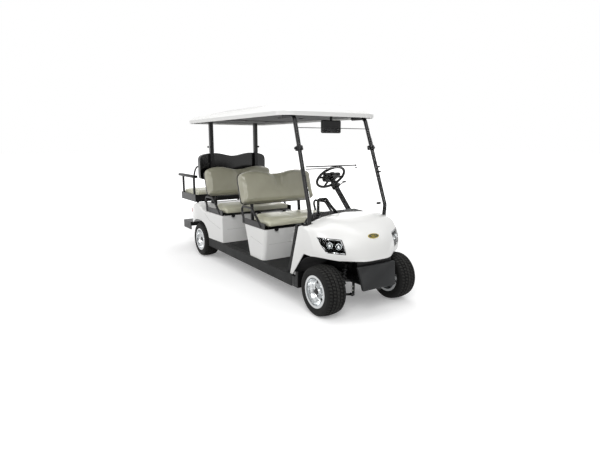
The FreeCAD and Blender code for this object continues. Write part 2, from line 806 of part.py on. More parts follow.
def floor_pan():
    """The moulded floor with its sills, the toe board and the dark pillars behind the cowl."""
    start = front_x - floor_start
    end = rear_x + kick_up_ahead + battery_gap
    sill_end = rear_x + floor_end_ahead
    under = floor_z - floor_thickness
    pieces = [block(end, start, -sill_y + sill_thickness, sill_y - sill_thickness, under, floor_z)]
    toe_high = floor_z + toe_board_rise
    toe = [(start, under), (start + toe_board_thickness, under), (start + toe_board_thickness, floor_z),
           (start + toe_board_run + toe_board_thickness, toe_high), (start + toe_board_run, toe_high),
           (start, floor_z)]
    pieces.append(side_prism(toe, -toe_board_y, toe_board_y))
    mat_y = body_y - mat_inset
    slope = box_lean_rear / seat_height
    mat_front = front_box_x - box_depth - mat_gap - slope * mat_thickness
    mat_rear = middle_box_x + box_lean_front + mat_gap
    pieces.append(block(mat_rear, mat_front, -mat_y, mat_y, floor_z, floor_z + mat_thickness))
    for side in (-1, 1):
        sill_start = front_x - sill_front_set
        sill = [(sill_end, floor_z), (sill_start, floor_z), (sill_start, floor_z - sill_height),
                (sill_end, floor_z - sill_height)]
        pieces.append(side_prism(sill, side * (sill_y - sill_thickness), side * sill_y))
        top = floor_z + pillar_top_rise
        pillar = [(start, under), (start + pillar_width, under), (front_x - pillar_top_set, top),
                  (front_x - pillar_top_set - pillar_width, top)]
        pieces.append(side_prism(pillar, side * toe_board_y, side * (body_y - panel_wall)))
    return joined(pieces)


def hood_edge(y, spots):
    """The smooth line over the cowl's top and down its nose, in one upright plane."""
    curve = Part.BSplineCurve()
    curve.interpolate([Vector(x, y, z) for x, z in spots])
    return curve.toShape()


def cowl_section(y, shares, inset):
    """One closed section of the cowl, or of the space inside it when there is an inset."""
    spots = []
    for reach_share, rise_share in shares:
        spots.append((front_x + cowl_reach * reach_share - inset,
                      floor_z + cowl_top_rise * rise_share - inset))
    first, last = spots[0], spots[-1]
    corners = [last, (first[0], last[1]), first]
    if inset:
        back_x = front_x - cowl_tail_set - overrun
        low = floor_z - overrun
        corners = [last, (last[0], low), (back_x, low), (back_x, first[1]), first]
    edges = [hood_edge(y, spots)]
    for (x0, z0), (x1, z1) in zip(corners, corners[1:]):
        edges.append(Part.makeLine(Vector(x0, y, z0), Vector(x1, y, z1)))
    return Part.Wire(edges)


def cowl_block(inset):
    """The cowl's outer form above its lip, or the space inside it."""
    rows = [(-share, spots) for share, spots in reversed(cowl_station_shares[1:])]
    rows += list(cowl_station_shares)
    wires = [cowl_section(share * (body_y - inset), spots, inset) for share, spots in rows]
    return Part.makeLoft(wires, True, False)


def lamp_prism(gap):
    """The room of one headlamp, seen from the front, as a prism through the cowl's right corner."""
    points = []
    for across_share, rise_share in lamp_outline_shares:
        y = body_y * (lamp_inner_share + (lamp_outer_share - lamp_inner_share) * across_share)
        z = floor_z + lamp_bottom_rise + (lamp_top_rise - lamp_bottom_rise) * rise_share
        points.append((y, z))
    middle_y = sum(y for y, z in points) / len(points)
    middle_z = sum(z for y, z in points) / len(points)
    spots = []
    for y, z in points:
        out = Vector(0, y - middle_y, z - middle_z)
        out = out * (1 - gap / out.Length)
        spots.append(Vector(front_x - lamp_depth, -middle_y - out.y, middle_z + out.z))
    return flat_solid(spots, Vector(lamp_depth + cowl_reach, 0, 0))


def cowl_side(side):
    """The cowl's flat side behind the wheel, down to its tail at the floor."""
    first, second = cowl_station_shares[-1][1][:2]
    last = cowl_station_shares[-1][1][-1]
    top = (front_x + cowl_reach * first[0], floor_z + cowl_top_rise * first[1])
    ahead = (front_x + cowl_reach * second[0], floor_z + cowl_top_rise * second[1])
    outline = [top, ahead, (ahead[0], floor_z + cowl_top_rise * last[1]),
               (front_x - cowl_tail_foot, floor_z), (front_x - cowl_tail_set, floor_z)]
    return side_prism(outline, side * (body_y - panel_wall), side * body_y)


def front_cowl():
    """The front cowl: a moulded shell with its wheel arches, open behind and below."""
    shell = cowl_block(0).cut(cowl_block(panel_wall))
    shell = joined([shell, cowl_side(1), cowl_side(-1)])
    radius = tyre_diameter / 2 + arch_clearance
    for side in (-1, 1):
        centre = Vector(front_x - arch_set_back, side * arch_inner_y, axle_z - arch_drop)
        shell = shell.cut(Part.makeCylinder(radius, body_y, centre, Vector(0, side, 0)))
        foot, kink = strut_run(side)[:2]
        shell = shell.cut(bar(foot, kink, strut_radius + strut_hole_gap))
    room = lamp_prism(0)
    return shell.cut(room).cut(mirrored(room))


def dash_section(y, rear_share, top_share):
    """One upright section of the dash: rear_share and top_share draw it in towards its ends."""
    top = floor_z + dash_rise * top_share
    front = front_x - cowl_rear_set + dash_front_ahead
    rear = front + (front_x - dash_rear_set - front) * rear_share
    low = floor_z + toe_board_rise + seat_gap
    outline = [(front, top - dash_front_drop), (rear, top), (rear - dash_lip / 2, top - dash_lip),
               (rear, top - 2 * dash_lip), (front - dash_depth / 2, low), (front, low)]
    return Part.makePolygon([Vector(x, y, z) for x, z in outline + outline[:1]])


def dash_block():
    """The dash moulding: level in the middle, falling and narrowing towards the struts."""
    rows = [(-y_share, rear, top) for y_share, rear, top in reversed(dash_station_shares[1:])]
    rows += list(dash_station_shares)
    return Part.makeLoft([dash_section(share * dash_y, rear, top) for share, rear, top in rows], True, True)


def dashboard():
    """The dash with the room for the steering column and the sockets of the front struts."""
    centre, down = steering_axis()
    whole = [dash_block()]
    top = floor_z + strut_foot_rise - seat_gap
    front = front_x - cowl_rear_set + dash_front_ahead
    for side in (-1, 1):
        outer_y = strut_foot_y + strut_socket_width / 2
        whole.append(block(front - strut_socket_width, front_x - strut_foot_set + strut_socket_width / 2,
                           side * (dash_y - strut_socket_width), side * outer_y,
                           top - strut_socket_height, top))
    room = bar(centre, column_end() + down * seat_gap, column_radius + seat_gap)
    return joined(whole).cut(room)


def inner_fenders():
    """The dark liner under the cowl: a tub on the front rails and a curved wall behind each wheel."""
    inner_y = front_rail_y - rail_width / 2 + arm_hanger_thickness + liner_gap
    nose = front_x + front_rail_reach
    rail_low = frame_bottom_z + front_rail_rise - seat_gap
    rail_high = frame_bottom_z + front_rail_rise + front_rail_height + seat_gap
    top = floor_z + cowl_top_rise * liner_top_share
    radius = tyre_diameter / 2 + arch_clearance - liner_gap
    pieces = [block(nose - liner_wall, nose, -liner_nose_y, liner_nose_y, rail_high, top)]
    for side in (-1, 1):
        centre = Vector(front_x - arch_set_back, side * inner_y, axle_z - arch_drop)
        out = Vector(0, side, 0)
        reach = body_y - panel_wall - liner_gap - inner_y
        ring = Part.makeCylinder(radius, reach, centre, out)
        ring = ring.cut(Part.makeCylinder(radius - liner_wall, reach, centre, out))
        pieces.append(ring.common(block(centre.x - radius - overrun, centre.x, 0, side * body_y,
                                        frame_bottom_z, top)))
        pieces.append(block(front_x - front_rail_start, nose, side * inner_y,
                            side * (inner_y + liner_wall), rail_high, top))
    skin = cowl_block(0).cut(cowl_block(panel_wall + liner_gap))
    liner = joined(pieces).cut(skin)
    cap_low = shock_cap_z() + seat_gap
    for side in (-1, 1):
        low_y = side * (front_rail_y - rail_width / 2 - liner_gap)
        liner = liner.cut(block(front_x - front_rail_start - cross_width, nose, low_y,
                                side * (front_rail_y + rail_width / 2 + liner_gap), rail_low, rail_high))
        half = front_arm_boss + liner_gap
        liner = liner.cut(block(front_x - half, front_x + half, low_y, side * (shock_head_y + shock_radius),
                                cap_low - liner_gap, cap_low + arm_hanger_thickness + liner_gap))
    return liner


def front_bumper():
    """The bumper's dark panel, leaning forward at its foot, with its lip and brackets."""
    high = floor_z + bumper_top_rise
    low = floor_z - bumper_bottom_drop
    face = front_x + front_overhang
    top_x = face - bumper_top_set
    back_x = top_x - bumper_thickness
    back = [Vector(back_x, -bumper_top_y, high), Vector(back_x, bumper_top_y, high),
            Vector(face - bumper_thickness, bumper_bottom_y, low),
            Vector(face - bumper_thickness, -bumper_bottom_y, low)]
    panel = flat_solid(back, Vector(bumper_thickness, 0, 0))
    panel = panel.makeFillet(bumper_round, panel.Edges)
    pieces = [panel]
    nose = front_x + front_rail_reach
    front_low = frame_bottom_z + front_rail_rise
    for side in (-1, 1):
        pieces.append(block(nose + seat_gap, top_x, side * (front_rail_y - bumper_bracket_width / 2),
                            side * (front_rail_y + bumper_bracket_width / 2), front_low,
                            front_low + front_rail_height))
    return joined(pieces)


def headlamps():
    """Both headlamps: blocks that fill the cowl's windows, just below its surface."""
    lamp = lamp_prism(seat_gap).common(cowl_block(lamp_recess))
    return apart([lamp, mirrored(lamp)])


def pedestal(inset, low, high):
    """The front seat's pedestal, or the space inside it, with round upright corners."""
    front = front_box_x - inset
    rear = front_box_x - box_depth + inset
    outline = [(front, low), (front + box_lean_front, high), (rear - box_lean_rear, high), (rear, low)]
    solid = side_prism(outline, inset - body_y, body_y - inset)
    uprights = [edge for edge in solid.Edges if edge.BoundBox.ZLength > panel_wall
                and edge.BoundBox.YLength < panel_wall]
    return solid.makeFillet(box_corner - inset, uprights)


def seat_box_front():
    """The white pedestal of the front seat: four leaning walls, open above and below."""
    low = floor_z + seat_gap
    outer = pedestal(0, low, seat_z)
    inner = pedestal(panel_wall, low, seat_z)
    throat = inner.copy()
    throat.translate(Vector(0, 0, panel_wall))
    foot = inner.copy()
    foot.translate(Vector(0, 0, -panel_wall))
    return outer.cut(inner).cut(throat).cut(foot)


def body_section(x, half_y, low, high, corner):
    """One upright section across the rear body, its top corners rounded."""
    middle = half_y - corner
    bow = corner * math.sqrt(0.5)
    spots = [Vector(x, -half_y, low), Vector(x, -half_y, high - corner), Vector(x, -middle, high),
             Vector(x, middle, high), Vector(x, half_y, high - corner), Vector(x, half_y, low)]
    left = Part.Arc(spots[1], Vector(x, -middle - bow, high - corner + bow), spots[2]).toShape()
    right = Part.Arc(spots[3], Vector(x, middle + bow, high - corner + bow), spots[4]).toShape()
    edges = [Part.makeLine(spots[0], spots[1]), left, Part.makeLine(spots[2], spots[3]), right,
             Part.makeLine(spots[4], spots[5]), Part.makeLine(spots[5], spots[0])]
    return Part.Wire(edges)


def rear_body_block(inset):
    """The rear body's outer form, or the space inside it."""
    low = floor_z + seat_gap - (overrun if inset else 0)
    front = middle_box_x + box_lean_front - inset
    tail = rear_x - rear_body_tail + inset
    rows = []
    for along_share, width_share, rise_share, corner_share in rear_body_shares:
        x = front + (tail - front) * along_share
        half_y = body_y + (rear_fender_y - body_y) * width_share - inset
        high = seat_z + rear_body_rise * rise_share - inset
        rows.append(body_section(x, half_y, low, high, body_corner * corner_share - inset))
    ahead = Part.makeLoft(rows[:2], True, True)
    behind = Part.makeLoft(rows[1:], True, False)
    return joined([ahead, behind])


def rear_body():
    """The rear body: middle seat box, wheel arches and tail in one moulded shell."""
    shell = rear_body_block(0).cut(rear_body_block(panel_wall))
    radius = tyre_diameter / 2 + rear_arch_clearance
    centre = Vector(rear_x, -rear_fender_y - overrun, axle_z)
    shell = shell.cut(Part.makeCylinder(radius, 2 * (rear_fender_y + overrun), centre, Vector(0, 1, 0)))
    tail = rear_x - rear_body_tail
    shell = shell.cut(block(tail - overrun, rear_x, -rear_fender_y - overrun, rear_fender_y + overrun,
                            floor_z - overrun, floor_z + tail_foot_rise))
    hatch = middle_box_x - hatch_set
    hatch_low = floor_z + seat_height / 2
    shell = shell.cut(block(hatch, hatch - hatch_length, -hatch_y, hatch_y, hatch_low, roof_z))
    half = rear_strut_width / 2 + strut_clearance
    for side in (-1, 1):
        shell = shell.cut(block(strut_x - half, strut_x + half, side * rear_strut_y - half,
                                side * rear_strut_y + half, floor_z, roof_z))
        shell = shell.cut(tail_lamp_room(side, seat_gap))
    return shell


def tail_lamps():
    """The two tail lamps on the corners of the tail."""
    return apart([tail_lamp_room(side, 0) for side in (-1, 1)])


def tail_lamp_room(side, gap):
    """One tail lamp's block round the corner of the tail, or the notch for it with a gap."""
    tail = rear_x - rear_body_tail
    high = floor_z + tail_lamp_rise
    outer_y = body_y + tail_lamp_proud
    return block(tail - tail_lamp_proud - gap, tail + tail_lamp_depth + gap,
                 side * (body_y - tail_lamp_inset - gap), side * (outer_y + gap),
                 high - tail_lamp_height - gap, high + gap)


def cushion(rear, front, half_y, low, high):
    """A plain closed cushion with rounded edges."""
    solid = block(rear, front, -half_y, half_y, low, high)
    rims = [edge for edge in solid.Edges if edge.BoundBox.ZMin > low + cushion_edge / 2
            or edge.BoundBox.ZLength > cushion_edge]
    return solid.makeFillet(cushion_edge, rims)


def front_cushion(rear, front, low):
    """The cushion of a forward-facing seat, full in front and narrower between the restraints."""
    high = low + cushion_thickness
    narrow_y = cushion_y - cushion_taper
    corners = [(front, cushion_y), (front - cushion_cheek, cushion_y), (rear, narrow_y),
               (rear, -narrow_y), (front - cushion_cheek, -cushion_y), (front, -cushion_y)]
    solid = flat_solid([Vector(x, y, low) for x, y in corners], Vector(0, 0, high - low))
    rims = [edge for edge in solid.Edges if edge.BoundBox.ZMin > low + cushion_edge / 2
            or edge.BoundBox.ZLength > cushion_edge]
    return solid.makeFillet(cushion_edge, rims)


def lift_seat(front, wall_x):
    """The cushion and the pan of a forward-facing seat, which lift together as a lid."""
    rear = front - cushion_depth
    half_y = cushion_y
    low = seat_z + seat_gap
    pan_top = low + pan_thickness
    pan = block(rear, front, -half_y, half_y, low, pan_top)
    lip = block(front - overrun, wall_x + latch_depth, -latch_width / 2, latch_width / 2, low, pan_top)
    catch = block(wall_x + seat_gap, wall_x + latch_depth, -latch_width / 2, latch_width / 2,
                  pan_top - latch_height, pan_top)
    pad = front_cushion(rear, front + cushion_overhang, pan_top + seat_gap)
    return pad, joined([pan, lip, catch])


def back_outline(half_y, height, inset):
    """The outline of a backrest in its own plane, Y across and Z up, as a closed smooth wire."""
    half = [(share_y * (half_y - inset), inset + share_z * (height - 2 * inset))
            for share_y, share_z in back_outline_shares]
    spots = [Vector(0, y, z) for y, z in half] + [Vector(0, -y, z) for y, z in reversed(half[:-1])]
    curve = Part.BSplineCurve()
    curve.interpolate(spots)
    return Part.Wire([curve.toShape(), Part.makeLine(spots[-1], spots[0])])


def back_slab(height, inset, start, depth):
    """A slab with a backrest's outline, from start over a depth along X."""
    slab = Part.Face(back_outline(back_y, height, inset)).extrude(Vector(depth, 0, 0))
    slab.translate(Vector(start, 0, 0))
    return slab


def backrest(face_x, low, height, lean, facing):
    """A backrest's pad and its moulded shell, leaning about the foot of its front face.

    The shell of an upright backrest is a tray that wraps the pad's sides.
    """
    behind = -facing * (back_thickness + seat_gap)
    if lean:
        pad = back_slab(height, 0, 0, -facing * back_thickness)
        shell = back_slab(height, back_shell_inset, behind, -facing * back_shell_thickness)
    else:
        pad = back_slab(height, wrap_wall + seat_gap, 0, -facing * back_thickness)
        tray = back_slab(height, 0, behind, -facing * back_shell_thickness)
        ring = back_slab(height, 0, behind, facing * wrap_depth)
        room = back_slab(height, wrap_wall, behind, facing * (wrap_depth + overrun))
        shell = joined([tray, ring.cut(room)])
    for shape in (pad, shell):
        shape.rotate(Vector(0, 0, 0), Vector(0, 1, 0), -facing * lean)
        shape.translate(Vector(face_x, 0, low))
    return pad, shell


def hip_restraint(front, side):
    """One hip restraint: a bent tube on a plate whose flange stands on the seat box."""
    y = side * restraint_y
    base = seat_z + seat_gap
    rear = front - cushion_depth
    inner = side * (restraint_y - restraint_plate / 2)
    plate = block(rear - restraint_tail, front, inner, side * (restraint_y + restraint_plate / 2),
                  base, base + restraint_plate_height)
    flange = block(rear + box_corner, front - box_corner, inner, side * (restraint_y - restraint_flange),
                   base, base + restraint_flange_thickness)
    spots = []
    for along_share, rise_share in restraint_shares:
        spots.append(Vector(front - cushion_depth * along_share, y, base + restraint_rise * rise_share))
    return joined([plate, flange, bent_tube(spots, restraint_radius, restraint_bend)])


def back_post(front, ahead, side, on_deck):
    """One post of a backrest, from the deck behind the seat, or bent out of the box's rear wall."""
    y = side * back_post_y
    lean = math.radians(back_lean)
    behind = (back_thickness + back_shell_thickness + 2 * seat_gap + back_post_radius) / math.cos(lean)
    along = []
    for share in post_reach_shares:
        rise = back_height * share
        x = front + ahead - back_set - behind - rise * math.tan(lean)
        along.append(Vector(x, y, seat_z + back_bottom_rise + rise))
    foot_x = front - cushion_depth - back_post_set
    knee = Vector(foot_x, y, seat_z + back_bottom_rise / 2)
    if on_deck:
        foot = Vector(foot_x, y, seat_z + seat_gap)
        return bent_tube([foot, knee] + along, back_post_radius, back_post_bend).cut(raised_deck())
    low_z = seat_z - back_post_drop
    slope = box_lean_rear / seat_height
    wall_x = front_box_x - box_depth - slope * (seat_height - back_post_drop + back_post_radius)
    spots = [Vector(wall_x - seat_gap, y, low_z), Vector(foot_x, y, low_z), knee]
    return bent_tube(spots + along, back_post_radius, back_post_bend)


def raised_deck():
    """The rear body's outer form, a seating gap higher."""
    deck = rear_body_block(0)
    deck.translate(Vector(0, 0, seat_gap))
    return deck


def seat_frame(front, ahead, on_deck):
    """The hip restraints and the back posts of one forward-facing seat, a set on each side."""
    pieces = []
    for side in (-1, 1):
        restraint = hip_restraint(front, side)
        pieces.append(restraint.cut(raised_deck()) if on_deck else restraint)
        pieces.append(back_post(front, ahead, side, on_deck))
    return apart(pieces)


def seat_frame_rear():
    """The frame of the rear-facing seat: deep pan, legs, arm loops and arm pads."""
    front = rear_x - rear_seat_set
    rear = front - rear_pan_length
    low = seat_z + rear_pan_rise
    high = low + rear_pan_height
    pan = block(rear, front, -restraint_y, restraint_y, low, high)
    hollow = block(rear + rear_pan_wall, front - rear_pan_wall, rear_pan_wall - restraint_y,
                   restraint_y - rear_pan_wall, low + rear_pan_wall, high + overrun)
    pieces = [pan.cut(hollow)]
    arm_z = seat_z + rear_arm_rise
    tail = rear_x - tail_length
    for side in (-1, 1):
        y = side * (restraint_y - rear_post_radius)
        for share in rear_post_shares:
            x = front - rear_pan_length * share
            pieces.append(bar(Vector(x, y, high - rear_pan_wall), Vector(x, y, arm_z), rear_post_radius))
        pieces.append(block(rear - rear_arm_overhang, front, y - rear_arm_width / 2, y + rear_arm_width / 2,
                            arm_z, arm_z + rear_arm_height))
        pieces.append(bar(Vector(tail + cross_width / 2, side * rail_y, rail_top_z + kick_up_rise + seat_gap),
                          Vector(tail + cross_width / 2, side * rail_y, low), rear_leg_radius))
        leg_x = front - rear_leg_set
        leg = bar(Vector(leg_x, side * rear_leg_y, seat_z), Vector(leg_x, side * rear_leg_y, low),
                  rear_leg_radius)
        pieces.append(leg.cut(raised_deck()))
    return joined(pieces)


def footrest():
    """The rear footrest: a plate with an upturned lip on two arms from the frame's tail."""
    edge = rear_x - rear_overhang
    top = floor_z + footrest_rise
    half_y = body_y - footrest_inset
    plate = block(edge, edge + footrest_depth, -half_y, half_y, top - footrest_thickness, top)
    lip = block(edge, edge + footrest_thickness, -half_y, half_y, top - footrest_lip, top)
    pieces = [plate, lip]
    tail = rear_x - tail_length
    low = frame_bottom_z + kick_up_rise
    for side in (-1, 1):
        inner = side * (rail_y - footrest_arm / 2)
        outer = side * (rail_y + footrest_arm / 2)
        pieces.append(block(edge + footrest_thickness, tail - seat_gap, inner, outer,
                            top - footrest_thickness - footrest_arm, top - footrest_thickness))
        pieces.append(block(tail - seat_gap - footrest_thickness, tail - seat_gap, inner, outer,
                            top - footrest_thickness - footrest_arm, low + rail_height))
        pieces.append(block(edge, edge + footrest_depth, side * (half_y - footrest_thickness), side * half_y,
                            top - footrest_lip, top))
    return joined(pieces)


def roof_layer(z, shrink, corner):
    """A level outline of the roof at one height, drawn in from its rim."""
    front = front_x - roof_front_set - shrink
    rear = strut_x - roof_rear_set + shrink
    return rounded_outline((front - rear) / 2, roof_y - shrink, corner, Vector((front + rear) / 2, 0, z))


def roof_block(inset, low):
    """The roof's outer form, or the space under it."""
    rim_top = roof_z + roof_rim - inset
    layers = [roof_layer(low, inset, roof_corner), roof_layer(rim_top, inset, roof_corner)]
    for rise_share, inset_share in roof_shoulder_shares:
        layers.append(roof_layer(rim_top + roof_crown * rise_share, roof_shoulder * inset_share + inset,
                                 roof_corner - inset))
    plate = roof_shoulder + roof_step_inset + inset
    step = [roof_layer(rim_top + roof_crown - seat_gap, plate, roof_corner - inset),
            roof_layer(rim_top + roof_crown + roof_step, plate + roof_step, roof_corner - inset)]
    return joined([Part.makeLoft(layers, True, True), Part.makeLoft(step, True, True)])


def roof_shell():
    """The moulded roof: rim, sloping shoulders and raised middle, hollow from below."""
    return roof_block(0, roof_z).cut(roof_block(roof_wall, roof_z - overrun))


def roof_liner():
    """The dark panel that closes the roof from below."""
    low = roof_z + liner_inset
    base = Part.Face(roof_layer(low, roof_wall + seat_gap, roof_corner))
    return base.extrude(Vector(0, 0, liner_thickness))


def strut_run(side):
    """The line of one front strut, from its foot below the cowl to its end under the roof."""
    top_z = roof_z + liner_inset - seat_gap - strut_radius
    foot_y = side * strut_foot_y
    top_y = side * strut_top_y
    return [Vector(front_x - strut_foot_set, foot_y, floor_z + strut_foot_rise),
            Vector(front_x - strut_kink_set, foot_y, floor_z + strut_kink_rise),
            Vector(front_x - strut_top_set, top_y, top_z),
            Vector(front_x - strut_top_set - strut_run_back, top_y, top_z)]


def front_struts():
    """The two bent front struts, cut level where they stand in their sockets."""
    pieces = []
    floor = floor_z + strut_foot_rise
    for side in (-1, 1):
        spots = strut_run(side)
        foot = spots[0] + (spots[0] - spots[1]) * (strut_radius / (spots[1] - spots[0]).Length)
        tube = bent_tube([foot] + spots[1:], strut_radius, strut_bend)
        reach = 2 * strut_radius
        under = block(spots[0].x - reach, spots[0].x + reach, spots[0].y - reach, spots[0].y + reach,
                      floor - reach, floor)
        pieces.append(tube.cut(under))
    return apart(pieces)


def rear_struts():
    """The two square rear struts, from the frame to the roof."""
    high = roof_z + liner_inset - seat_gap
    low = strut_base_z + seat_gap
    half = rear_strut_width / 2
    pieces = []
    for side in (-1, 1):
        y = side * rear_strut_y
        pieces.append(block(strut_x - half, strut_x + half, y - half, y + half, low, high))
    return apart(pieces)


def strut_line(rise):
    """The middle of a front strut above its kink, as X, at a height above the floor."""
    start = Vector(front_x - strut_kink_set, 0, floor_z + strut_kink_rise)
    end = Vector(front_x - strut_top_set, 0, roof_z + liner_inset - seat_gap - strut_radius)
    share = (floor_z + rise - start.z) / (end.z - start.z)
    return start.x + (end.x - start.x) * share


def windshield():
    """The lower and the upper pane, flat and clear, in front of the struts."""
    panes = []
    clear = (strut_radius + seat_gap) / math.cos(math.atan2(strut_top_set - strut_kink_set,
                                                           roof_height - strut_kink_rise))
    half_gap = windshield_gap / 2
    for low_rise, high_rise in ((windshield_foot_rise, windshield_hinge_rise - half_gap),
                                (windshield_hinge_rise + half_gap, roof_height - windshield_top_drop)):
        outline = [(strut_line(low_rise) + clear, floor_z + low_rise),
                   (strut_line(high_rise) + clear, floor_z + high_rise),
                   (strut_line(high_rise) + clear + windshield_thickness, floor_z + high_rise),
                   (strut_line(low_rise) + clear + windshield_thickness, floor_z + low_rise)]
        panes.append(side_prism(outline, -windshield_y, windshield_y))
    return apart(panes)


def mirror():
    """The wide inside mirror on its neck under the front of the roof."""
    x = front_x - mirror_set
    high = roof_z + liner_inset - seat_gap
    top = high - mirror_drop
    half = mirror_width / 2
    housing = block(x - mirror_depth, x, -half, half, top - mirror_height, top)
    housing = housing.makeFillet(mirror_corner, housing.Edges)
    middle = x - mirror_depth / 2
    neck = bar(Vector(middle, 0, top - mirror_height / 2), Vector(middle, 0, high), mirror_neck_radius)
    return joined([housing, neck])


def steering_axis():
    """The middle of the steering wheel and the direction from it down its column."""
    centre = Vector(front_x - steering_centre_set, steering_y, floor_z + steering_centre_rise)
    tilt = math.radians(steering_angle)
    return centre, Vector(math.cos(tilt), 0, -math.sin(tilt))


def steering_wheel():
    """The steering wheel: rim, three spokes and hub."""
    centre, down = steering_axis()
    radius = steering_diameter / 2
    flat = Part.makeTorus(radius - steering_grip, steering_grip)
    hub = Part.makeCylinder(steering_hub_radius, steering_hub_depth, Vector(0, 0, -steering_hub_depth / 2))
    pieces = [flat, hub]
    for angle in spoke_angles:
        turn = math.radians(angle)
        out = Vector(math.cos(turn), math.sin(turn), 0)
        pieces.append(bar(Vector(0, 0, 0), out * (radius - steering_grip), steering_grip * spoke_share))
    whole = joined(pieces)
    whole.Placement = FreeCAD.Placement(centre, FreeCAD.Rotation(Vector(0, 0, -1), down))
    return whole


def column_end():
    """Where the steering column ends, inside the dash."""
    centre, down = steering_axis()
    reach = (front_x - dash_rear_set + column_reach - centre.x) / down.x
    return centre + down * reach


def steering_column():
    """The column from the dashboard up to the steering wheel, with its stalk."""
    centre, down = steering_axis()
    start = centre + down * (steering_hub_depth / 2 + seat_gap)
    end = column_end()
    root = start + (end - start) * stalk_share
    reach = Vector(0, stalk_length, stalk_length * stalk_lean_share)
    return joined([bar(start, end, column_radius), bar(root, root + reach, stalk_radius)])


def pedals():
    """Accelerator and brake: leaning pads on stems that rise from the floor."""
    pieces = []
    for share in pedal_shares:
        y = steering_y + pedal_spread * share
        x = front_x - floor_start - pedal_set
        low = floor_z + seat_gap
        stem = [(x, low), (x + pedal_thickness, low), (x + pedal_thickness + pedal_lean, low + pedal_height),
                (x + pedal_lean, low + pedal_height)]
        pieces.append(side_prism(stem, y - pedal_width / 2, y + pedal_width / 2))
    return apart(pieces)


def grab_handle():
    """The passenger's bent handle, its feet on the dashboard."""
    top = floor_z + dash_rise
    x = front_x - dash_rear_set + handle_set
    y = -handle_y
    spots = [Vector(x, y, top - dash_handle_sink), Vector(x, y, top + handle_height),
             Vector(x, y + handle_top_length, top + handle_height),
             Vector(x, y + handle_shoulder_length, top + handle_shoulder_height),
             Vector(x, y + handle_length, top - dash_handle_sink)]
    raised = dash_block()
    raised.translate(Vector(0, 0, seat_gap))
    return bent_tube(spots, handle_radius, handle_bend).cut(raised)


def build():
    """Every node of the cart, by name."""
    nodes = {
        "chassis_frame": chassis_frame(),
        "floor_pan": floor_pan(),
        "front_cowl": front_cowl(),
        "dashboard": dashboard(),
        "inner_fenders": inner_fenders(),
        "front_bumper": front_bumper(),
        "headlamps": headlamps(),
        "seat_box_front": seat_box_front(),
        "rear_body": rear_body(),
        "tail_lamps": tail_lamps(),
        "battery_pack": battery_pack(),
        "front_suspension": front_suspension(),
        "rear_axle": rear_axle(),
        "drive_motor": drive_motor(),
        "seat_frame_rear": seat_frame_rear(),
        "footrest": footrest(),
        "roof_shell": roof_shell(),
        "roof_liner": roof_liner(),
        "front_struts": front_struts(),
        "rear_struts": rear_struts(),
        "windshield": windshield(),
        "mirror": mirror(),
        "steering_wheel": steering_wheel(),
        "steering_column": steering_column(),
        "pedals": pedals(),
        "grab_handle": grab_handle(),
        "tie_rod": tie_rod(),
    }
    for name, box_x, ahead in (("front", front_box_x, 0), ("middle", middle_box_x, middle_back_ahead)):
        wall_x = box_x + box_lean_front
        edge = wall_x - cushion_overhang
        nodes["seat_cushion_" + name], nodes["seat_pan_" + name] = lift_seat(edge, wall_x)
        pad, shell = backrest(edge + ahead - back_set, seat_z + back_bottom_rise, back_height, back_lean, 1)
        nodes["backrest_" + name], nodes["backrest_shell_" + name] = pad, shell
        nodes["seat_frame_" + name] = seat_frame(edge, ahead, name == "middle")
    depth = back_shell_thickness + back_thickness + seat_gap
    face = strut_x - rear_strut_width / 2 - seat_gap - depth
    pad, shell = backrest(face, seat_z + rear_back_bottom_rise, rear_back_height, 0, -1)
    nodes["backrest_rear"], nodes["backrest_shell_rear"] = pad, shell
    front = rear_x - rear_seat_set - rear_pan_wall - seat_gap
    rear = rear_x - rear_seat_set - rear_pan_length + rear_pan_wall + seat_gap
    low = seat_z + rear_pan_rise + rear_pan_wall + seat_gap
    nodes["seat_cushion_rear"] = cushion(rear, front, cushion_y, low, low + rear_cushion_thickness)
    for side, name in ((1, "left"), (-1, "right")):
        nodes["knuckle_" + name] = knuckle(side)
        nodes["rim_front_" + name] = wheel_at(rim(), front_x, side, front_track)
        nodes["tyre_front_" + name] = wheel_at(tyre(), front_x, side, front_track)
        nodes["rim_rear_" + name] = wheel_at(rim(), rear_x, side, rear_track)
        nodes["tyre_rear_" + name] = wheel_at(tyre(), rear_x, side, rear_track)
    return nodes


def main():
    """Write each node to its own file."""
    os.makedirs("parts", exist_ok=True)
    for name, shape in build().items():
        solids = shape.Solids
        print(name, len(solids), "solids", round(shape.Volume / 1e6, 2), "litres", shape.isValid())
        shape.exportStep("parts/" + name + ".step")


main()
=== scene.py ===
# %% [markdown]
# # A golf cart with three rows of seats
#
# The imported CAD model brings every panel, tube and wheel at its real size. This script adds the
# finish, the upholstery, the tyre tread and the small fittings. It never moves or resizes a
# construction piece.

# %% Load the frame
import bpy
import bmesh
import json
import math
from mathutils import Matrix, Vector
from mathutils.bvhtree import BVHTree

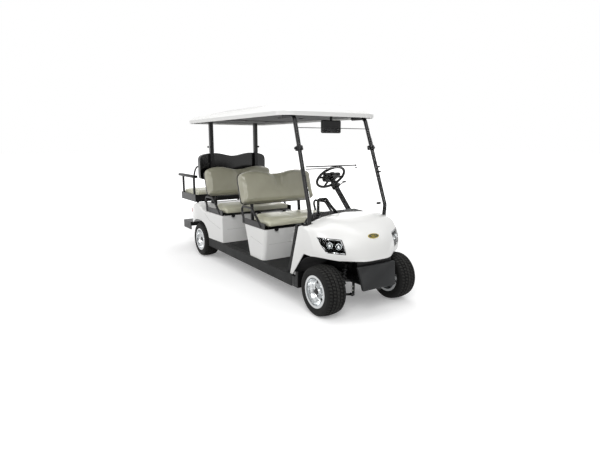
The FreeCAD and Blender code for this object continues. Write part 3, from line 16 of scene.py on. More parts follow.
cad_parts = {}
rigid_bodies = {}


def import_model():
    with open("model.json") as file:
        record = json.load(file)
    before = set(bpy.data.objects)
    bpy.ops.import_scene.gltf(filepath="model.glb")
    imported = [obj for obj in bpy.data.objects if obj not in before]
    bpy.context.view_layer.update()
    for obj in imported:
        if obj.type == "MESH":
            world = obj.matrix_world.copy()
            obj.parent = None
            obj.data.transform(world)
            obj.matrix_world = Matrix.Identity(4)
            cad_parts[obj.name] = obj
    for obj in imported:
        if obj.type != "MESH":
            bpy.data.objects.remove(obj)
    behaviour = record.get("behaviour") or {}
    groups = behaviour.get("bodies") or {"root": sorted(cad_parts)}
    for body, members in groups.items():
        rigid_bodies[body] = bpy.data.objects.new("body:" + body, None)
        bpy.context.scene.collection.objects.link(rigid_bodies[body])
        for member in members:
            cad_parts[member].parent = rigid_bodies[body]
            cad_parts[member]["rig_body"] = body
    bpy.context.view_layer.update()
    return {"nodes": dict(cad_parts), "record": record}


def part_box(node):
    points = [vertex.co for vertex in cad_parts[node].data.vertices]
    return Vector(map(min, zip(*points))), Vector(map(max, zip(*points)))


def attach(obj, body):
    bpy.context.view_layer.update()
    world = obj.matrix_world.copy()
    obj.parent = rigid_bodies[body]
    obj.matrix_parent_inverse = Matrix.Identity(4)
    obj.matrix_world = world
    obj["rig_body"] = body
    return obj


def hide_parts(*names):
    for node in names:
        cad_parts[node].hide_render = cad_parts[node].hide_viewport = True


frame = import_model()
scene = bpy.context.scene

# %% [markdown]
# ## Units and colours
#
# Blender works in metres, and small things read more easily in millimetres, so one value turns one
# into the other. Colours are written as sRGB hex, and a function turns them to linear light.

# %% Millimetres and colours
mm = 0.001


def linear(hex_colour):
    """An sRGB hex colour as the linear red, green, blue and alpha that a shader takes."""
    digits = hex_colour.lstrip("#")
    channels = [int(digits[i:i + 2], 16) / 255 for i in (0, 2, 4)]
    turned = [c / 12.92 if c <= 0.04045 else ((c + 0.055) / 1.055) ** 2.4 for c in channels]
    return (*turned, 1.0)


print("mid grey in linear light", round(linear("#808080")[0], 3))

# %% [markdown]
# ## How a material is put together
#
# Every finish is one Principled shader with a pattern behind its bump and, where the real surface
# varies, behind its colour or roughness. The pattern reads Object coordinates, which are metres on
# the cart, so its scale follows from a real size: a grain of 2 mm repeats 500 times in a metre.

# %% Helpers for materials
def add_node(tree, kind, values=None, links=None, **settings):
    """Adds one node, with its settings, its sockets' values and its links."""
    node = tree.nodes.new("ShaderNode" + kind)
    for name, value in settings.items():
        setattr(node, name, value)
    for socket, value in (values or {}).items():
        node.inputs[socket].default_value = value
    for socket, source in (links or {}).items():
        tree.links.new(source, node.inputs[socket])
    return node


def parts_of(made):
    """A material's node tree, its shader and its Object coordinates."""
    tree = made.node_tree
    return tree, tree.nodes["Principled BSDF"], tree.nodes["Texture Coordinate"].outputs["Object"]


def per_metre(size_mm):
    """How many times a pattern of this size repeats in a metre."""
    return 1000 / size_mm


def noise_of(made, size_mm, detail):
    """A soft noise of a real size over the whole cart."""
    tree, shader, place = parts_of(made)
    noise = add_node(tree, "TexNoise", {"Scale": per_metre(size_mm), "Detail": detail}, {"Vector": place})
    return noise.outputs["Fac"]


def grained(made, size_mm, depth_mm, detail):
    """Gives a surface a soft irregular grain of a real size and depth."""
    tree, shader, place = parts_of(made)
    bump = add_node(tree, "Bump", {"Strength": 1.0, "Distance": depth_mm * mm},
                    {"Height": noise_of(made, size_mm, detail)})
    tree.links.new(bump.outputs["Normal"], shader.inputs["Normal"])


def drifting(made, low, high, size_mm):
    """Lets the colour drift softly between two near values, over patches of a real size."""
    tree, shader, place = parts_of(made)
    ramp = add_node(tree, "ValToRGB", links={"Fac": noise_of(made, size_mm, 3.0)})
    for stop, position, colour in zip(ramp.color_ramp.elements, (0.3, 0.7), (low, high)):
        stop.position = position
        stop.color = linear(colour)
    tree.links.new(ramp.outputs["Color"], shader.inputs["Base Color"])


def worn(made, low, high, size_mm):
    """Lets the roughness drift between two values, as handling and wiping leave it."""
    tree, shader, place = parts_of(made)
    spread = add_node(tree, "MapRange", {"To Min": low, "To Max": high},
                      {"Value": noise_of(made, size_mm, 4.0)})
    tree.links.new(spread.outputs["Result"], shader.inputs["Roughness"])


def new_material(name, colour, roughness, metallic=0.0, grain=None, drift=None, wear=None, **sockets):
    """One Principled shader, with the values of a grain, a drift of colour and wear where given."""
    made = bpy.data.materials.new(name)
    made.use_nodes = True
    tree = made.node_tree
    tree.nodes.clear()
    shader = add_node(tree, "BsdfPrincipled",
                      {"Base Color": linear(colour), "Roughness": roughness, "Metallic": metallic})
    for socket, value in sockets.items():
        shader.inputs[socket.replace("_", " ")].default_value = value
    add_node(tree, "OutputMaterial", links={"Surface": shader.outputs["BSDF"]})
    add_node(tree, "TexCoord")
    for pattern, values in ((grained, grain), (drifting, drift), (worn, wear)):
        if values:
            pattern(made, *values)
    print("finish", name)
    return made


print("a grain of 2 mm repeats", per_metre(2), "times in a metre")

# %% [markdown]
# ## Camera, floor and light
#
# The camera stands where the photographer stood: ahead of the cart, on its right, at about shoulder
# height. The floor is a pale studio sweep. The camera, gloss and glass see it pale with a painted
# glow added, weak near the cart and full white far away, which paints shade round the cart. It is
# darker too where the cart keeps light from it, so the contact shadow stays. Large soft lamps leave
# no hard shadow.

# %% Camera
looks_down = 0.1827
heading = 2.5557


def linked(name, data):
    """A new object in the scene, at the origin."""
    thing = bpy.data.objects.new(name, data)
    scene.collection.objects.link(thing)
    return thing


camera_data = bpy.data.cameras.new("photo_camera")
camera_data.lens = 26.86
camera_data.sensor_width = 36.0
camera_data.clip_end = 200.0
camera = linked("photo_camera", camera_data)
camera.location = (4.6289, -2.6696, 1.4998)
camera.rotation_euler = (math.pi / 2 - looks_down, 0.0, heading - math.pi / 2)
scene.camera = camera
print("camera at", tuple(round(c, 3) for c in camera.location))

# %% Floor
scene.view_settings.view_transform = "Standard"
floor_half = 60.0
# Painted glow on the floor: its emission is weak near the cart and full white far from it, a painted shade
# round the cart.
painted_glow_starts, painted_glow_ends = 2.9, 7.0
painted_glow_near, painted_glow_far = 0.22, 1.0


def looked_at(tree):
    """1 for rays from the camera, also by way of gloss or glass, and 0 where light bounces."""
    path = add_node(tree, "LightPath").outputs
    by_way = add_node(tree, "Math", operation="MAXIMUM",
                      links={0: path["Is Glossy Ray"], 1: path["Is Transmission Ray"]})
    either = add_node(tree, "Math", operation="MAXIMUM",
                      links={0: path["Is Camera Ray"], 1: by_way.outputs[0]})
    return either.outputs[0]


def mesh_of(name, shape, materials=()):
    """A bmesh as a mesh with its finishes, and the bmesh freed."""
    mesh = bpy.data.meshes.new(name)
    shape.to_mesh(mesh)
    shape.free()
    for material in materials:
        mesh.materials.append(material)
    return mesh


floor_paint = new_material("studio_floor_paint", "#9a9a9a", 0.9)
sweep = bmesh.new()
bmesh.ops.create_grid(sweep, x_segments=1, y_segments=1, size=floor_half)
floor = linked("floor", mesh_of("floor", sweep, [floor_paint]))
tree, shader, place = parts_of(floor_paint)
pale = add_node(tree, "BsdfDiffuse", {"Color": linear("#f6f6f6")})
# The painted glow grows with the distance from the cart's middle.
away = add_node(tree, "VectorMath", links={0: place}, operation="LENGTH")
painted_glow = add_node(tree, "MapRange",
                {"From Min": painted_glow_starts, "From Max": painted_glow_ends, "To Min": painted_glow_near, "To Max": painted_glow_far},
                {"Value": away.outputs["Value"]})
white = add_node(tree, "Emission", {"Color": (1, 1, 1, 1)}, {"Strength": painted_glow.outputs["Result"]})
shown = add_node(tree, "AddShader", links={0: pale.outputs["BSDF"], 1: white.outputs["Emission"]})
choice = add_node(tree, "MixShader",
                  links={0: looked_at(tree), 1: shader.outputs["BSDF"], 2: shown.outputs["Shader"]})
tree.links.new(choice.outputs["Shader"], tree.nodes["Material Output"].inputs["Surface"])
print("floor is", 2 * floor_half, "m wide")

# %% Light
sky_on_cart, sky_seen = 0.55, 1.0
world = bpy.data.worlds.new("studio")
scene.world = world
world.use_nodes = True
tree = world.node_tree
tree.nodes.clear()
strength = add_node(tree, "MapRange", {"To Min": sky_on_cart, "To Max": sky_seen},
                    {"Value": looked_at(tree)})
sky = add_node(tree, "Background", {"Color": (1, 1, 1, 1)}, {"Strength": strength.outputs["Result"]})
add_node(tree, "OutputWorld", links={"Surface": sky.outputs["Background"]})


def soft_lamp(name, place, target, size, power):
    """A large square lamp that faces a point."""
    data = bpy.data.lights.new(name, "AREA")
    data.shape = "SQUARE"
    data.size = size
    data.energy = power
    lamp = linked(name, data)
    lamp.location = place
    lamp.rotation_euler = (Vector(target) - Vector(place)).to_track_quat("-Z", "Y").to_euler()


soft_lamp("key_lamp", place=(5.5, -3.5, 5.0), target=(0.0, 0.0, 0.8), size=4.0, power=240)
soft_lamp("fill_lamp", place=(-3.0, -6.0, 3.5), target=(-0.3, 0.0, 0.8), size=4.0, power=90)
soft_lamp("top_lamp", place=(0.0, 0.5, 6.5), target=(0.0, 0.0, 0.5), size=5.0, power=105)
soft_lamp("back_lamp", place=(-5.0, 4.5, 4.0), target=(0.0, 0.0, 0.8), size=4.0, power=90)
print("lamps", len(bpy.data.lights))

# %% [markdown]
# ## The finishes
#
# The white panels are moulded plastic with a glossy clear coat. Sills, floor and bumper are grained
# dark polypropylene, as it came from its mould. The steel tubes have a finely pebbled black powder
# coat. The seats are vinyl on foam.

# %% Body panels and plastics
# Gloss-coated moulded polypropylene: the even coat gives soft wide reflections over a plain white.
body_white = new_material("gloss_white_moulded_body", "#e9e9e7", 0.32, grain=(60, 0.05, 1.0),
                          IOR=1.5, Coat_Weight=0.6, Coat_Roughness=0.06)
# The roof is moulded of the same plastic with a thinner coat, a little duller and greyer.
roof_white = new_material("moulded_white_roof", "#e2e2e0", 0.4, grain=(40, 0.06, 1.0),
                          IOR=1.5, Coat_Weight=0.3, Coat_Roughness=0.15)
# Grained polypropylene: a leather-like mould grain breaks its shine into a dull sheen.
sill_plastic = new_material("grained_dark_grey_polypropylene", "#161717", 0.55, grain=(2.5, 0.12, 3.0),
                            wear=(0.45, 0.65, 90), Specular_IOR_Level=0.2)
bumper_plastic = new_material("grained_bumper_polypropylene", "#222324", 0.5, grain=(2.5, 0.10, 3.0),
                              wear=(0.42, 0.6, 80), Specular_IOR_Level=0.3)
dash_plastic = new_material("satin_black_dash_plastic", "#0c0c0d", 0.45, grain=(1.8, 0.08, 3.0),
                            wear=(0.38, 0.52, 70), Specular_IOR_Level=0.25)
# Gloss ABS: sharp highlights along its rounded edges.
shell_abs = new_material("gloss_black_abs", "#060606", 0.2, grain=(30, 0.04, 1.0), IOR=1.45)
battery_case = new_material("moulded_battery_case", "#232527", 0.5, grain=(5, 0.1, 2.0))

# %% Metals
# Powder coat over steel: fine pebbles in a half-gloss black.
powder_black = new_material("black_powder_coat", "#080809", 0.38, grain=(1.5, 0.04, 2.0),
                            wear=(0.3, 0.45, 60), Specular_IOR_Level=0.35)
# Cast and forged steel, painted and a little dusty.
cast_steel = new_material("painted_cast_steel", "#191a1b", 0.55, 0.4, grain=(4, 0.15, 4.0),
                          drift=("#151617", "#23231f", 45))
# Polished aluminium: nearly a mirror, with the faint drift of a hand polish.
polished_alloy = new_material("polished_aluminium_alloy", "#c9cbcc", 0.16, 1.0, wear=(0.12, 0.24, 35))
# Zinc plating on bolts is dull and spangled. Chrome on nuts and mirrors is the brightest metal.
zinc_steel = new_material("zinc_plated_steel", "#a9aba8", 0.32, 1.0, wear=(0.25, 0.42, 6))
chrome = new_material("bright_chrome", "#d5d7d8", 0.07, 1.0, wear=(0.05, 0.11, 20))

# %% Rubber and cloth
# Vulcanised rubber: matt black with a dusty drift.
tyre_rubber = new_material("vulcanised_tyre_rubber", "#0e0e0e", 0.68, grain=(3, 0.12, 4.0),
                           drift=("#0e0e0e", "#151514", 30), Specular_IOR_Level=0.2)
# The same rubber where it meets the road: scuffed paler by grit, with dust in its pores.
road_rubber = new_material("scuffed_tread_rubber", "#2e2e2d", 0.85, grain=(2, 0.2, 5.0),
                           drift=("#282827", "#353533", 25), Specular_IOR_Level=0.15)
grip_rubber = new_material("moulded_polyurethane_grip", "#0a0a0b", 0.45, grain=(1.2, 0.08, 2.0),
                           Specular_IOR_Level=0.3)
# Needle felt on a board, under the roof: soft, dark and even.
headliner = new_material("needle_felt_headliner", "#1f2020", 0.9, grain=(2.2, 0.25, 4.0),
                         drift=("#1b1c1c", "#242525", 60), Sheen_Weight=0.2)

# %% Panes and lenses
# Clear polycarbonate sheet: nearly no colour and a light gloss.
clear_pane = new_material("clear_polycarbonate", "#ffffff", 0.03, wear=(0.01, 0.05, 60),
                          IOR=1.12, Transmission_Weight=1.0)
lamp_clear = new_material("clear_lamp_lens", "#fafbfb", 0.04, wear=(0.03, 0.08, 25),
                          IOR=1.2, Transmission_Weight=1.0)
lamp_red = new_material("red_moulded_acrylic", "#b3121a", 0.15, grain=(5, 0.3, 0.0),
                        IOR=1.49, Coat_Weight=0.4)


# %% Seat vinyl
pebble_size, pebble_depth = 2.4, 0.15
fold_size, fold_depth = 70, 2.0


def vinyl(name, light, dark):
    """Stitched marine vinyl over foam: a pebbled grain, soft folds and a slow drift of colour."""
    made = new_material(name, light, 0.36, drift=(light, dark, 180), Coat_Weight=0.35, Coat_Roughness=0.22)
    tree, shader, place = parts_of(made)
    cells = add_node(tree, "TexVoronoi", {"Scale": per_metre(pebble_size)}, {"Vector": place})
    bump = add_node(tree, "Bump", {"Strength": 0.6, "Distance": pebble_depth * mm},
                    {"Height": cells.outputs["Distance"]})
    wave = add_node(tree, "Bump", {"Strength": 0.5, "Distance": fold_depth * mm},
                    {"Height": noise_of(made, fold_size, 1.0), "Normal": bump.outputs["Normal"]})
    tree.links.new(wave.outputs["Normal"], shader.inputs["Normal"])
    return made


seat_vinyl = vinyl("stitched_stone_vinyl", "#a5a390", "#9c9a87")
# The cushions are the backs' vinyl painted paler, for the light that falls on their tops from above.
paler_lit_cushion_vinyl = vinyl("stone_vinyl_painted_paler", "#cbcab5", "#c1c0aa")
print("materials", len(bpy.data.materials))

# %% [markdown]
# ## Finishes on the construction pieces
#
# Each construction piece keeps its shape and gets its finish by the name of its material slot, so
# its looks outlast a change to the construction. A moulded or bent edge is never quite sharp, so
# some pieces get a narrow bevel that catches the light.

# %% Dress the construction pieces
finish_of_slot = {
    "body_white": body_white, "floor_grey": sill_plastic, "bumper_grey": bumper_plastic,
    "dash_black": dash_plastic, "shell_black": shell_abs, "seat_vinyl": seat_vinyl,
    "frame_black": powder_black, "strut_black": powder_black, "liner_grey": headliner,
    "lamp_clear": lamp_clear, "lamp_red": lamp_red, "clear_glass": clear_pane,
    "battery_case": battery_case, "axle_steel": cast_steel, "grip_black": grip_rubber,
    "rim_alloy": polished_alloy, "tyre_rubber": tyre_rubber,
}
slots_made_anew = ("tyre_rubber", "seat_vinyl", "lamp_clear")
slot_of_node = {part["node"]: part["material_slot"] for part in frame["record"]["subparts"]}
edge_of_node = {"front_bumper": 7.0, "floor_pan": 2.0, "footrest": 3.0, "seat_frame_rear": 1.5,
                "dashboard": 2.0, "seat_pan_front": 1.5, "seat_pan_middle": 1.5, "mirror": 6.0}
crease_angle = 32


def body_of(node):
    """The body that a construction piece moves with."""
    return frame["nodes"][node]["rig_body"]


def merged(node, near_mm, flat_degrees=None):
    """A copy of a construction piece with its triangles sewn together and its flats joined."""
    shape = bmesh.new()
    shape.from_mesh(frame["nodes"][node].data)
    bmesh.ops.remove_doubles(shape, verts=shape.verts, dist=near_mm * mm)
    if flat_degrees:
        bmesh.ops.dissolve_limit(shape, angle_limit=math.radians(flat_degrees), verts=shape.verts,
                                 edges=shape.edges)
    return shape


def shaded(mesh, sharp=None):
    """Smooth shading, with edges past an angle in degrees left sharp."""
    mesh.polygons.foreach_set("use_smooth", [True] * len(mesh.polygons))
    if sharp:
        mesh.set_sharp_from_angle(angle=math.radians(sharp))
    return mesh


def dressed(node, material, edge_mm):
    """A copy of a construction piece with its edges rounded and its finish on."""
    mesh = mesh_of(node + "_dressed", merged(node, 0.02, 0.8), [material])
    piece = linked(node + "_dressed", shaded(mesh, crease_angle))
    if edge_mm:
        rounded = piece.modifiers.new("rounded_edges", "BEVEL")
        rounded.width = edge_mm * mm
        rounded.segments = 2
        rounded.limit_method = "ANGLE"
        rounded.angle_limit = math.radians(crease_angle)
        rounded.harden_normals = True
    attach(piece, body_of(node))
    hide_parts(node)


for node, thing in frame["nodes"].items():
    finish = finish_of_slot[slot_of_node[node]]
    thing.data.materials.clear()
    thing.data.materials.append(finish)
    if slot_of_node[node] not in slots_made_anew:
        dressed(node, finish, edge_of_node.get(node, 0.0))

# %% [markdown]
# ## Tyres
#
# A street tyre for such a cart has five ribs with wide grooves between them and short slanted
# grooves across them. Its profile is drawn from bead to bead and spun round the axle. A spin gives
# rings of vertices, so moving two rings in every eight towards the axle makes the cross grooves.

# %% Tyre profile and spin
tyre_radius = 225.0
tread_half = 84.0
tread_drop = 10.0
tread_top = tyre_radius - 0.6
rib_edges = ((0.0, 15.0), (22.0, 50.0), (57.0, 84.0))
groove_width = 7.0
groove_slope = 0.8
groove_depth = 8.0
ring_count = 360


def tread_height(y):
    """The tread's radius at a distance from the tyre's middle, in millimetres."""
    return tread_top - tread_drop * (y / tread_half) ** 2


def tyre_profile():
    """Half of the tyre's outline as (y, radius) in millimetres, from the middle to the bead."""
    points = [(0.0, tread_height(0.0))]
    for start, end in rib_edges:
        if start:
            points.append((start + groove_slope, tread_height(start)))
        points.append(((start + end) / 2, tread_height((start + end) / 2)))
        if end < tread_half:
            far = end + groove_width
            points.append((end - groove_slope, tread_height(end)))
            points.append((end + groove_slope, tread_height(end) - groove_depth))
            points.append((far - groove_slope, tread_height(far) - groove_depth))
    points += [(83.0, 214.0), (89.0, 209.0), (94.0, 201.0), (97.0, 193.0), (98.6, 191.0), (99.4, 180.0),
               (99.0, 169.0), (97.0, 160.0), (97.6, 157.0), (95.6, 152.0), (92.0, 148.5), (87.2, 146.6),
               (86.2, 145.6), (85.6, 131.3)]
    return points


def spun(outline, steps, closed=False):
    """A bmesh turned round the Y axis from an outline of (y, radius) in millimetres."""
    shape = bmesh.new()
    corners = [shape.verts.new((0, y * mm, r * mm)) for y, r in outline]
    for one, other in zip(corners, corners[1:]):
        shape.edges.new((one, other))
    if closed:
        shape.edges.new((corners[-1], corners[0]))
    bmesh.ops.spin(shape, geom=shape.verts[:] + shape.edges[:], cent=(0, 0, 0), axis=(0, 1, 0),
                   angle=2 * math.pi, steps=steps, use_merge=True)
    bmesh.ops.remove_doubles(shape, verts=shape.verts, dist=0.01 * mm)
    bmesh.ops.recalc_face_normals(shape, faces=shape.faces)
    return shape


half_profile = tyre_profile()
full_profile = [(-y, r) for y, r in reversed(half_profile[1:])] + half_profile
tyre_shape = spun(full_profile, ring_count, closed=True)
print("tyre profile points", len(full_profile))

# %% Cross grooves and worn tread
rings_per_block = 8
shoulder = 88
slant_step = 9
middle_rib, inner_ribs = 17, 53
middle_sipe, side_sipe = 3.5, 6.5
rib_skin = 4
worn_skin = 1.6
for corner in tyre_shape.verts:
    across = abs(corner.co.y) / mm
    radius = math.hypot(corner.co.x, corner.co.z) / mm
    if across > shoulder or radius < tread_height(min(across, tread_half)) - rib_skin:
        continue
    ring = round(math.atan2(corner.co.z, corner.co.x) / (2 * math.pi) * ring_count)
    slant = round(corner.co.y / mm / slant_step)
    offset = 0 if across > inner_ribs else rings_per_block // 2
    if (ring + slant + offset) % rings_per_block in (0, 1):
        deep = side_sipe if across > middle_rib else middle_sipe
        scale = (radius - deep) / radius
        corner.co.x *= scale
        corner.co.z *= scale
for face in tyre_shape.faces:
    middle = face.calc_center_median()
    across = abs(middle.y) / mm
    scuffed = math.hypot(middle.x, middle.z) / mm > tread_height(min(across, tread_half)) - worn_skin
    face.material_index = 1 if scuffed and across < tread_half else 0
print("scuffed faces", sum(face.material_index for face in tyre_shape.faces), "of", len(tyre_shape.faces))


# %% Place the tyres
def new_piece(name, shape, materials, body="chassis", sharp=30.0):
    """A finished mesh piece in the cart's frame, on its body, from a bmesh."""
    mesh = mesh_of(name, shape, materials)
    piece = linked(name, shaded(mesh, sharp))
    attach(piece, body)
    print("made", name, "with", len(mesh.polygons), "faces")
    return piece


def moved(shape, matrix):
    """Turns and shifts a shape."""
    bmesh.ops.transform(shape, matrix=matrix, verts=shape.verts)
    return shape


def centre_of(node):
    """The middle of a construction piece's box."""
    low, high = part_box(node)
    return (low + high) / 2


wheels = [end + "_" + side for end in ("front", "rear") for side in ("left", "right")]
for wheel in wheels:
    shape = moved(tyre_shape.copy(), Matrix.Translation(centre_of("tyre_" + wheel)))
    tyre = new_piece("tyre_treaded_" + wheel, shape, [tyre_rubber, road_rubber],
                     "wheel_" + wheel, 28)
    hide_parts("tyre_" + wheel)
tyre_shape.free()

# %% [markdown]
# ## Wheel nuts, caps and valves
#
# Five nuts in its dish hold each alloy wheel. A nut is a six-sided cylinder that tapers a little, on
# a washer, with bevelled edges. A black cap covers the hub, and the rubber valve pokes through the
# barrel.

# %% Wheel fittings
rim_half = 93.0
dish_depth = 66.0
disc_thickness = 11.0
hub_length = 44.0
cap_sinks = 3.0
nut_count = 5
nut_circle, nut_radius, nut_height = 58.0, 9.5, 15.0
nut_top_share = 0.86
first_nut = 0.3
washer_height = 3.0
washer_rim = 3
cap_outline = [(0, 0.01), (0, 24), (1.5, 27), (4.5, 28.5), (7, 27), (8.5, 20), (9, 8), (9, 0.01)]
valve_y, valve_z, valve_length = 78, 115, 34
valve_foot, valve_tip = 4.5, 3.2
across_y = Matrix.Rotation(-math.pi / 2, 4, "X")


def cone(shape, sides, radius, far_radius, depth, matrix):
    """Adds a closed cone or cylinder along Z, in millimetres, placed by a matrix."""
    bmesh.ops.create_cone(shape, cap_ends=True, segments=sides, radius1=radius * mm,
                          radius2=far_radius * mm, depth=depth * mm, matrix=matrix)


def bevelled(shape, edges, width, steps=2, **options):
    """Rounds some edges of a shape, by a width in millimetres."""
    bmesh.ops.bevel(shape, geom=edges, offset=width * mm, affect="EDGES", segments=steps, profile=0.5,
                    material=-1, **options)


def faced(shape, outward):
    """A shape made for the left side, flipped where it goes on the right."""
    if outward < 0:
        bmesh.ops.scale(shape, vec=(1, -1, 1), verts=shape.verts)
        bmesh.ops.recalc_face_normals(shape, faces=shape.faces)
    return shape


def wheel_nuts():
    """Five nuts on washers, on the wheel's disc, towards +Y."""
    shape = bmesh.new()
    face_y = rim_half - dish_depth - disc_thickness
    for index in range(nut_count):
        angle = 2 * math.pi * index / nut_count + first_nut
        spot = Vector((nut_circle * math.cos(angle), face_y + nut_height / 2, nut_circle * math.sin(angle)))
        cone(shape, 6, nut_radius, nut_radius * nut_top_share, nut_height,
             Matrix.Translation(spot * mm) @ across_y)
        spot.y = face_y + washer_height / 2
        cone(shape, 20, nut_radius + washer_rim, nut_radius + washer_rim - 1, washer_height,
             Matrix.Translation(spot * mm) @ across_y)
    bevelled(shape, shape.edges[:], 0.7)
    return shape


for wheel in wheels:
    outward = 1 if wheel.endswith("left") else -1
    hub = centre_of("tyre_" + wheel)
    body = "wheel_" + wheel
    nuts = moved(faced(wheel_nuts(), outward), Matrix.Translation(hub))
    new_piece("wheel_nuts_" + wheel, nuts, [chrome], body)
    cap_y = outward * (rim_half - dish_depth + hub_length - cap_sinks) * mm
    cap = moved(faced(spun(cap_outline, 48), outward), Matrix.Translation(hub + Vector((0, cap_y, 0))))
    new_piece("hub_cap_" + wheel, cap, [powder_black], body)
    valve = bmesh.new()
    spot = Vector((0, outward * valve_y, valve_z)) * mm
    lean = Matrix.Translation(hub + spot) @ Matrix.Rotation(outward * -math.pi / 3, 4, "X")
    cone(valve, 14, valve_foot, valve_tip, valve_length, lean)
    bevelled(valve, valve.edges[:], 0.8)
    new_piece("valve_" + wheel, valve, [tyre_rubber], body)

# %% [markdown]
# ## Seat pads
#
# A cart's seat is foam on a board under stretched vinyl. The foam pushes the vinyl out between its
# seams, and no drawn surface has quite that fullness. So each pad starts as a copy of its plain
# block, a little smaller, gets an even skin by a voxel remesh, and is blown up by Blender's cloth
# from inside, while the points on its board, and a cushion's seams, are held. The creases are
# pressed in last, since a remesh would lose them. Front and middle seats are alike, so one
# simulation serves both.

# %% Pad frame and start shape
def pad_frame(foot, out, up):
    """A pad's own frame: X out of its face, Z up along it and Y across, from its foot."""
    return Matrix.Translation(foot) @ Matrix((out, up.cross(out), up)).transposed().to_4x4()


def start_pad(node, place, shrink_mm, round_mm):
    """A merged copy of a pad's block in its own frame, smaller, its front edges round where asked."""
    shape = moved(merged(node, 0.05, 1.0), place.inverted())
    low = Vector([min(v.co[i] for v in shape.verts) for i in range(3)])
    high = Vector([max(v.co[i] for v in shape.verts) for i in range(3)])
    middle, size = (low + high) / 2, high - low
    for corner in shape.verts:
        for axis in (1, 2):
            scale = 1 - 2 * shrink_mm * mm / size[axis]
            corner.co[axis] = middle[axis] + (corner.co[axis] - middle[axis]) * scale
        if corner.co.x > middle.x:
            corner.co.x -= shrink_mm * mm
    if round_mm:
        face_x = high.x - shrink_mm * mm
        rim = [e for e in shape.edges if all(v.co.x > face_x - 0.5 * mm for v in e.verts)
               and any(abs(f.normal.x) < 0.5 for f in e.link_faces)]
        bevelled(shape, rim, round_mm, 5, clamp_overlap=True)
    return linked(node + "_start", mesh_of(node + "_start", shape))


# %% Remesh, blow up and press in
voxel_size = 8
cloth_frames = 20
cloth_quality = 2
foam_pressure = 4.0


def applied(thing):
    """Puts the mesh of an object with its modifiers applied in place of the old one."""
    graph = bpy.context.evaluated_depsgraph_get()
    mesh = bpy.data.meshes.new_from_object(thing.evaluated_get(graph))
    thing.modifiers.clear()
    old = thing.data
    thing.data = mesh
    bpy.data.meshes.remove(old)


def smoothed(thing, passes):
    """A few passes of smoothing, as tight vinyl has no sharp dents."""
    shape = bmesh.new()
    shape.from_mesh(thing.data)
    for step in range(passes):
        bmesh.ops.smooth_vert(shape, verts=shape.verts, factor=0.5, use_axis_x=True, use_axis_y=True,
                              use_axis_z=True)
    shape.to_mesh(thing.data)
    shape.free()


def remeshed(thing, passes):
    """An even skin over a start shape, smoothed a few times."""
    skin = thing.modifiers.new("skin", "REMESH")
    skin.mode = "VOXEL"
    skin.voxel_size = voxel_size * mm
    applied(thing)
    smoothed(thing, passes)


def blown_up(thing, held, cap_mm):
    """Cloth pressure from inside. Held points stay, and none moves past the cap."""
    before = [v.co.copy() for v in thing.data.vertices]
    group = thing.vertex_groups.new(name="held")
    group.add([i for i, co in enumerate(before) if held(co)], 1.0, "REPLACE")
    cloth = thing.modifiers.new("vinyl", "CLOTH")
    cloth.settings.vertex_group_mass = "held"
    cloth.settings.use_pressure = True
    cloth.settings.uniform_pressure_force = foam_pressure
    cloth.settings.effector_weights.gravity = 0.0
    cloth.settings.quality = cloth_quality
    cloth.point_cache.frame_start = 1
    cloth.point_cache.frame_end = cloth_frames
    for step in range(1, cloth_frames + 1):
        scene.frame_set(step)
    applied(thing)
    scene.frame_set(1)
    furthest = 0.0
    for vertex, start in zip(thing.data.vertices, before):
        move = vertex.co - start
        furthest = max(furthest, move.length)
        if move.length > cap_mm * mm:
            vertex.co = start + move.normalized() * cap_mm * mm
    thing.vertex_groups.clear()
    print(thing.name, "points", len(before), "furthest move mm", round(furthest / mm, 1))


def full_pad(node, place, held, shrink, rounding, skin_passes, cap, last_passes=2):
    """A pad's block made full: shrunk, skinned, blown up and smoothed, in the pad's own frame."""
    thing = start_pad(node, place, shrink, rounding)
    remeshed(thing, skin_passes)
    blown_up(thing, held, cap)
    smoothed(thing, last_passes)
    return thing


def pressed_in(thing, depth_at):
    """Moves a pad's face back by a depth in millimetres that depends on the place on the face."""
    for vertex in thing.data.vertices:
        vertex.co.x -= depth_at(vertex.co / mm) * mm


def finished_pad(thing, name, place, node, material):
    """The pad as a smooth piece in the cart's frame, in place of its plain block."""
    mesh = thing.data.copy()
    mesh.transform(place)
    mesh.materials.clear()
    mesh.materials.append(material)
    piece = linked(name, shaded(mesh))
    finer = piece.modifiers.new("finer", "SUBSURF")
    finer.levels = finer.render_levels = 1
    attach(piece, body_of(node))
    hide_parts(node)
    print("made", name, "with", len(mesh.polygons), "faces before it is made finer")


# %% [markdown]
# ## Backrests
#
# A backrest has a full lobe for each rider with a dip between them. Two sewn creases run down from
# the dip and fade out at about half height, and between them lies a hollow.

# %% Where a backrest is creased and held
crease_y = 58.0
crease_foot, crease_top = 190.0, 400.0
crease_slant = 12
hollow_depth, hollow_core, hollow_rim = 30, 0.55, 10
fade_below, fade_above = 60, 150
seam_depth, seam_spread = 9, 8
lobe_height, lobe_y, lobe_z = 7, 120, 310
lobe_half_width, lobe_half_height = 42, 90
waist_depth, waist_z, waist_spread = 6, 110, 70
waist_fades, waist_ends = 280, 430
face_back, face_front = -55, -20


def groove(distance, width, depth):
    """The depth of a sewn groove at a distance from its line, all in millimetres."""
    return depth * math.exp(-(distance / width) ** 2)


def mound(aside, ahead, height):
    """The height of a round mound at a place, given in shares of its half width and half height."""
    return height * math.exp(-aside ** 2 - ahead ** 2)


def eased(value, start, end):
    """0 before start, 1 after end, and a smooth rise between them."""
    share = min(max((value - start) / (end - start), 0.0), 1.0)
    return share * share * (3 - 2 * share)


